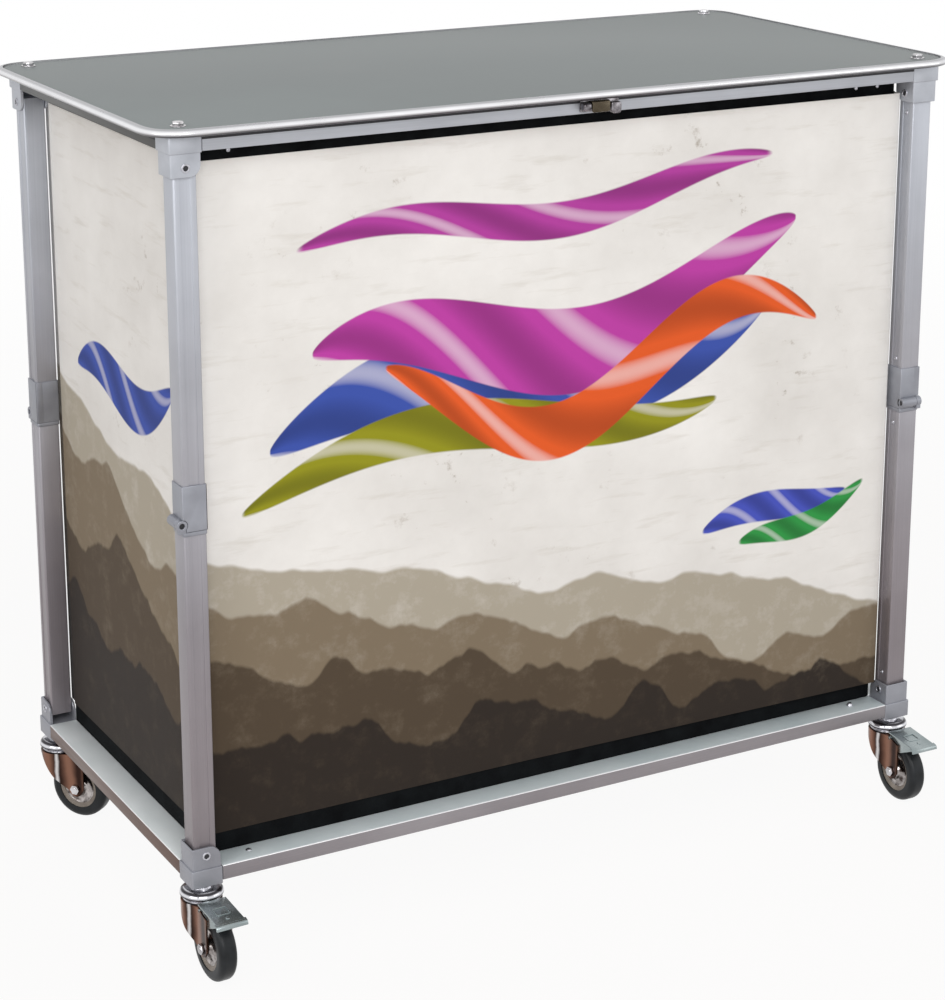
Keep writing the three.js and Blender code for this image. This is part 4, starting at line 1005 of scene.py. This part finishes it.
piece("half_round_rim", [half_round_rim()], (rim_paint,), "counter", ["counter_rim"])

chrome_paint = speckled_paint("bright_plating", 420.0, 40.0, ((150, 147, 148), (212, 211, 214)),
                              0.96, (0.1, 0.2))


def stud(radius, low, high, low_ease, high_ease, sides=24, steps=3):
    """A round stud about Z with both rims eased."""
    profile = ((CORE, low), (radius, low), (radius, high), (CORE, high))
    return spun(eased(profile, (0.0, low_ease, high_ease, 0.0), closed=False, steps=steps), sides)


def hexagon(radius, ease):
    """Outline of a hexagon with its corners eased."""
    a = np.linspace(0.0, 2 * np.pi, 6, endpoint=False)
    return eased(np.stack((np.cos(a), np.sin(a)), axis=1) * radius, ease, steps=2)


def hex_bolt(head, height, washer, thickness):
    """A hex head with its corners turned off, on a flat washer, standing on z = 0."""
    top = thickness + height
    return [shell(stud(washer, 0.0, thickness, 0.0003, 0.0005, sides=32)),
            shell(prism(hexagon(head, 0.0004), thickness, top - 0.0003, edge=0.0007)),
            shell(stud(head * 0.84, thickness, top, 0.0001, 0.0004, sides=28))]


at_corners("hex_bolt", hex_bolt(0.0075, 0.0045, 0.0095, 0.0011), (chrome_paint,), "counter",
           "counter_bolt", COUNTER_Z, BOLT_TURN)

# Latch on the front rail: a plated steel plate with a rolled end and a bracket, and a flat lever that
# swings out and up about the pin between them.
LATCH_AT = (0.022, -0.2797, TOP_RAIL_Z)
LATCH_Y = -0.0071
LATCH_Z = 0.01385
PLATE_X = (-0.031, 0.026)
PLATE_Z = (0.00225, 0.01725)
ROLL_TO = -0.020
BRACKET_X = (0.0105, 0.025)
BRACKET_Z = (-0.0012, 0.0135)
FLAP_X = (-0.0180, 0.0080)
FLAP_HEIGHT = 0.0115
LEVER_RADIUS = 0.0034

latch_paint = speckled_paint("latch_plating", 500.0, 150.0, ((54, 49, 52), (158, 154, 158)),
                             0.95, (0.14, 0.26))
lever_paint = speckled_paint("bronzed_plating", 600.0, 60.0, ((70, 62, 50), (102, 93, 78)),
                             0.9, (0.2, 0.32))


def lying_rod(radius, ends, y, z, edge):
    """A rod along X with rounded ends."""
    return shell(along_x(stud(radius, *ends, edge, edge, steps=4)) + (0.0, y, z))


back_plate = eased(oblong(*PLATE_X, *PLATE_Z), 0.002)
bracket = eased(oblong(*BRACKET_X, *BRACKET_Z), (0.0065, 0.0045, 0.0030, 0.0018))
flap = eased(oblong(*FLAP_X, LATCH_Z - FLAP_HEIGHT, LATCH_Z), (0.003, 0.003, 0.0006, 0.0006))
latch_front = LATCH_Y - LEVER_RADIUS
latch_base = [shell(along_y(prism(back_plate, -0.0016, 0.0, edge=0.0004))),
              lying_rod(0.0058, (PLATE_X[0], ROLL_TO), LATCH_Y, LATCH_Z - 0.0034, 0.0022),
              shell(along_y(prism(bracket, latch_front, -0.0008, edge=0.0012, steps=3)))]
piece("latch_plate", turned(latch_base, 0, LATCH_AT), (latch_paint,), "counter", ["latch_base"])
lever = [lying_rod(LEVER_RADIUS, FLAP_X, LATCH_Y, LATCH_Z, 0.0008),
         shell(along_y(prism(flap, latch_front, latch_front + 0.0020, edge=0.0006)))]
piece("latch_flap", turned(lever, 0, LATCH_AT), (lever_paint,), "latch", ["latch_lever"])

# Casters: plated swivel forks on two ball races, each pressed from one sheet that wraps the back of the
# wheel. The wheels are grey rubber tyres on moulded discs with plated hubs, on bolts through the fork.
TRAIL = 0.036
WHEEL_RADIUS = 0.0445
TYRE_HALF = 0.0123
TREAD_HALF = 0.0088
CROWN_Z = 0.093
FORK_TOP = 0.096
FORK_FRONT = 0.049
FORK_HALF = 0.018
FORK_SHEET = 0.0025
SKIRT_RADIUS = 0.027
SKIRT_SWELL = 0.026
BOSS = 0.0115
BOSS_BACK = 0.0252
SWEEP_FOOT = 0.0405
NUT_RADIUS = 0.0074
NUT_FROM = 0.0183
AXLE_RADIUS = 0.0048
AXLE_HALF = 0.019
# Where the painted highlight streak runs round the fork's sheet, as a share of the way round.
BEND_AT = 0.285

# The fork's colour is painted reflection: dark and brown bands stand in for a brown room mirrored in the
# plating, with a painted highlight streak at the bend.
fork_paint, tree, paint = blank("fork_plating")
skin = placed(tree, speckle, Fineness=300.0, Breadth=26.0)
around, up_sheet, _ = split(tree, node(tree, "UVMap", uv_map="sheet").outputs[0])
from_middle = sums(tree, "ABSOLUTE", sums(tree, "SUBTRACT", around, 0.5))
wander = sums(tree, "MULTIPLY_ADD", skin["Stain"], 0.06, from_middle)
reflection_bands = sums(tree, "MULTIPLY_ADD", wander, 34.0, sums(tree, "MULTIPLY", up_sheet, 1.3))
reflection_bands = spread(tree, sums(tree, "SINE", reflection_bands), 0.0, 1.0, -0.9, 0.9)
off_bend = sums(tree, "ABSOLUTE", sums(tree, "SUBTRACT", wander, BEND_AT))
highlight_streak = sums(tree, "MULTIPLY", spread(tree, off_bend, 1.0, 0.0, 0.004, 0.020), 0.85)
sheet_colour = mixed(tree, highlight_streak, toned(tree, reflection_bands, (50, 34, 29), (132, 96, 80)), srgb(222, 219, 219))
feed(tree, paint, {"Base Color": sheet_colour, "Metallic": 0.96,
                   "Roughness": spread(tree, skin["Grit"], 0.1, 0.2)})

# The races' colour is painted reflection: dark and bright bands by height stand in for reflections in the
# plating.
race_paint, tree, paint = blank("race_plating")
skin = placed(tree, speckle, Fineness=420.0, Breadth=60.0)
height = split(tree, object_spot(tree))[2]
race_reflection_bands = sums(tree, "MULTIPLY_ADD", height, 950.0, sums(tree, "MULTIPLY", skin["Stain"], 2.0))
race_reflection_bands = spread(tree, sums(tree, "SINE", race_reflection_bands), 0.0, 1.0, -0.7, 0.6)
feed(tree, paint, {"Base Color": toned(tree, race_reflection_bands, (64, 62, 66), (218, 218, 223)), "Metallic": 0.96,
                   "Roughness": spread(tree, skin["Grit"], 0.08, 0.18)})

tyre_paint, tree, paint = blank("grey_rubber")
skin = placed(tree, speckle, Fineness=700.0, Breadth=46.0)
dust = spread(tree, skin["Stain"], 0.0, 1.0)
feed(tree, paint, {"Base Color": toned(tree, dust, (22, 24, 26), (38, 41, 44)),
                   "Roughness": spread(tree, skin["Stain"], 0.3, 0.44),
                   "Normal": bumped(tree, skin["Grit"], 0.08, 0.0003), "Specular IOR Level": 0.22})
disc_paint = speckled_paint("moulded_disc", 500.0, 60.0, ((112, 102, 94), (146, 138, 128)),
                            0.0, (0.38, 0.55))
hub_paint = speckled_paint("hub_plating", 420.0, 90.0, ((60, 50, 47), (186, 180, 178)),
                           0.95, (0.12, 0.24), (0.35, 0.62))


def skirt():
    """The fork's sheet: in plan two plates that swell from FORK_HALF to the round back by a squared
    cosine, then a half circle. Below, its edge falls along a parabola from the back to the boss and goes
    round that as an arc; above, it slopes away under the pedal."""
    ahead = np.linspace(FORK_FRONT, 0.0, 26, endpoint=False)
    swell = np.cos(np.pi / 2 * np.clip(ahead / SKIRT_SWELL, 0.0, 1.0)) ** 2
    half = FORK_HALF + (SKIRT_RADIUS - FORK_HALF) * swell
    a = np.linspace(np.pi / 2, 1.5 * np.pi, 33)
    x = np.concatenate((ahead, SKIRT_RADIUS * np.cos(a), ahead[::-1]))
    y = np.concatenate((half, SKIRT_RADIUS * np.sin(a), -half[::-1]))
    behind = np.clip(BOSS_BACK - x, 0.0, None)
    sweep = np.minimum(SWEEP_FOOT + 0.74 * behind + 11.0 * behind ** 2, FORK_TOP - 0.0045)
    arc = WHEEL_RADIUS - np.sqrt(np.clip(BOSS ** 2 - (x - TRAIL) ** 2, 0.0, None))
    low = np.where(x < BOSS_BACK, sweep, arc)
    top = FORK_TOP - 0.32 * np.clip(x - SKIRT_SWELL, 0.0, None)
    return wall(np.stack((x, y), axis=1)[::-1], FORK_SHEET, low[::-1], top[::-1], 0.0005)


def mirrored(half_line):
    """A line of (radius, across) pairs from one face of the wheel, gone on to the other face."""
    return (*half_line, *((radius, -across) for radius, across in half_line[::-1]))


def on_axle(rings):
    """A shape turned about Z, laid along the axle."""
    return along_y(rings) + (TRAIL, 0.0, WHEEL_RADIUS)


def axle_end(way):
    """Hex nut and domed bolt end outside one of the fork's plates."""
    nut = prism(hexagon(NUT_RADIUS, 0.0005), NUT_FROM, NUT_FROM + 0.0035, edge=0.0006)
    tip = stud(AXLE_RADIUS, NUT_FROM, NUT_FROM + 0.0045, 0.0001, 0.0012, sides=20)
    return [shell(on_axle(rings * (1.0, 1.0, way))) for rings in (nut, tip)]


crown_a = np.linspace(np.pi / 2, 1.5 * np.pi, 25)
crown_shape = np.stack((np.cos(crown_a), np.sin(crown_a)), axis=1) * (SKIRT_RADIUS - 0.001)
crown_shape = np.concatenate((crown_shape, ((0.024, 0.001 - FORK_HALF), (0.024, FORK_HALF - 0.001))))
races = eased(((CORE, 0.0955), (0.0245, 0.0955), (0.0245, 0.0985), (0.0215, 0.0998), (0.0222, 0.1012),
               (0.0280, 0.1020), (0.0280, 0.1070), (0.0225, 0.1120), (0.0150, 0.1118), (0.0150, 0.1177),
               (CORE, 0.1177)),
              (0.0, 0.0006, 0.0012, 0.0005, 0.0005, 0.0016, 0.0030, 0.0016, 0.0004, 0.0004, 0.0),
              closed=False, steps=4)
tyre_section = eased(mirrored(((0.0300, -TYRE_HALF), (0.0385, -TYRE_HALF), (WHEEL_RADIUS, -TREAD_HALF))),
                     (0.0004, 0.0030, 0.0042, 0.0042, 0.0030, 0.0004), steps=5)
disc_line = ((0.0236, -0.0080), (0.0250, -0.0094), (0.0300, -0.0106), (0.0306, -0.0106))
disc_section = eased(mirrored(disc_line), 0.0004, steps=3)
hub_line = ((0.0050, -0.0140), (0.0095, -0.0140), (0.0120, -0.0086), (0.0200, -0.0062), (0.0240, -0.0084))
hub_eases = (0.0002, 0.0020, 0.0022, 0.0030, 0.0002)
hub_section = eased(mirrored(hub_line), hub_eases + hub_eases[::-1], steps=4)
axle = spun(((CORE, -AXLE_HALF), (AXLE_RADIUS, -AXLE_HALF), (AXLE_RADIUS, AXLE_HALF),
             (CORE, AXLE_HALF)), 20)

CASTER_TURN = {}
for joint in frame["record"]["behaviour"]["joints"]:
    if joint["name"].startswith("roll_"):
        heading = math.degrees(math.atan2(-joint["axis"][0], joint["axis"][1]))
        CASTER_TURN[joint["name"].removeprefix("roll_")] = heading

fork = [skirt(), shell(prism(crown_shape, CROWN_Z, FORK_TOP - 0.0003))]
sheet_points, crown_points = fork[0][0], fork[1][0]
ring = len(WALL_SECTION)
around = np.repeat(np.linspace(0.0, 1.0, len(sheet_points) // ring), ring)
fork_uv = np.stack((around, sheet_points[:, 2] / FORK_TOP), axis=1)
fork_uv = np.concatenate((fork_uv, np.full((len(crown_points), 2), 0.5)))
forks = at_corners("fork_sheet", fork, (fork_paint,), "fork_{}", "caster_fork",
                   turns=CASTER_TURN)
for made in forks:
    mapped(made, "sheet", fork_uv)
ball_races = [shell(spun(races, 48))]
at_corners("ball_races", ball_races, (race_paint,), "fork_{}", turns=CASTER_TURN)
bolt = axle_end(1.0) + axle_end(-1.0) + [shell(on_axle(axle))]
at_corners("axle_bolt", bolt, (chrome_paint,), "fork_{}", "caster_axle", turns=CASTER_TURN)
tyre = [shell(on_axle(spun(tyre_section, 64)), loop=True)]
at_corners("tyre", tyre, (tyre_paint,), "wheel_{}", "caster_wheel", turns=CASTER_TURN)
hub = [shell(on_axle(spun(disc_section, 56)), loop=True),
       shell(on_axle(spun(hub_section, 48)), loop=True, finish=1)]
at_corners("wheel_disc", hub, (disc_paint, hub_paint), "wheel_{}", turns=CASTER_TURN)

# Brake pedals of the front casters: pressed channels of plated steel, hinged between the fork's plates,
# with a wider turned-down tip and a raised frame and stud on the plate.
PIVOT = 0.029
TIP = 0.0857
PEDAL_HALF = 0.0151
PEDAL_TOP = 0.0984
PEDAL_SHEET = 0.0022
PEDAL_SLOPE = 0.09
FLANGE_FOOT = 0.0735
PLATE_HALF_WIDTH = 0.0194
TIP_HALF = PLATE_HALF_WIDTH + 0.0022
MARK_HALF = 0.0012
MARK_ROUND = 0.0011
MARK_SIDE = 0.0085

pedal_paint = speckled_paint("pedal_plating", 240.0, 24.0, ((136, 147, 149), (166, 175, 176)),
                             0.8, (0.2, 0.28))


def pedal():
    """Plate, tip, flanges, raised marks and pivot pin of a pedal, trailing along +X. The plate lies over
    the fork's edges and its flanges go down between them. All but the pin rise from the tip towards the
    pivot by PEDAL_SLOPE."""
    plate = eased(oblong(PIVOT, TIP - 0.001, -PLATE_HALF_WIDTH, PLATE_HALF_WIDTH), 0.0012)
    foot = PEDAL_TOP - PEDAL_SHEET
    side = eased(((PIVOT, foot + 0.0008), (PIVOT, FLANGE_FOOT), (PIVOT + 0.020, FLANGE_FOOT),
                  (TIP - 0.002, foot - 0.003), (TIP - 0.002, foot + 0.0008)),
                 (0.0004, 0.002, 0.005, 0.0012, 0.0004))
    tip_line = eased(((TIP - 0.004, PEDAL_TOP), (TIP + 0.0028, PEDAL_TOP - 0.0006),
                      (TIP + 0.0040, PEDAL_TOP - 0.0062)), (0.0, 0.0036, 0.0), closed=False, steps=6)
    forward = np.gradient(tip_line, axis=0)
    under = np.stack((forward[:, 1], -forward[:, 0]), axis=1)
    under *= PEDAL_SHEET / np.linalg.norm(under, axis=1, keepdims=True)
    tip_shape = np.concatenate((tip_line, (tip_line + under)[::-1]))
    sloping = [prism(plate, foot, PEDAL_TOP), along_y(prism(tip_shape, -TIP_HALF, TIP_HALF, edge=0.0008)),
               along_y(prism(side, PEDAL_HALF - PEDAL_SHEET, PEDAL_HALF, edge=0.0004)),
               along_y(prism(side, -PEDAL_HALF, PEDAL_SHEET - PEDAL_HALF, edge=0.0004))]
    on_top = PEDAL_TOP - 0.0002
    cross_rib = prism(rounded_box(MARK_HALF, MARK_SIDE, MARK_ROUND), 0.0, 0.0013)
    long_rib = prism(rounded_box(0.0075, MARK_HALF, MARK_ROUND), 0.0, 0.0013)
    dot = prism(rounded_box(0.0026, 0.0026, 0.0024), 0.0, 0.0014, edge=0.0007)
    sloping += [cross_rib + (PIVOT + along, 0.0, on_top) for along in (0.020, 0.036)]
    sloping += [long_rib + (PIVOT + 0.028, aside, on_top) for aside in (-MARK_SIDE, MARK_SIDE)]
    sloping.append(dot + (PIVOT + 0.046, 0.0, on_top))
    made = [shell(along_y(bar(0.0025, -FORK_HALF, FORK_HALF, 0.0003, 16)) + (PIVOT, 0.0, CROWN_Z))]
    for rings in sloping:
        rise = PEDAL_SLOPE * np.clip(TIP - rings[..., :1], 0.0, None)
        made.append(shell(raised(rings[..., :2], rings[..., 2:] + rise)))
    return made


braked = {corner: CASTER_TURN[corner] for corner in ("front_left", "front_right")}
at_corners("pedal_plate", pedal(), (pedal_paint,), "pedal_{}", "brake_pedal", turns=braked)
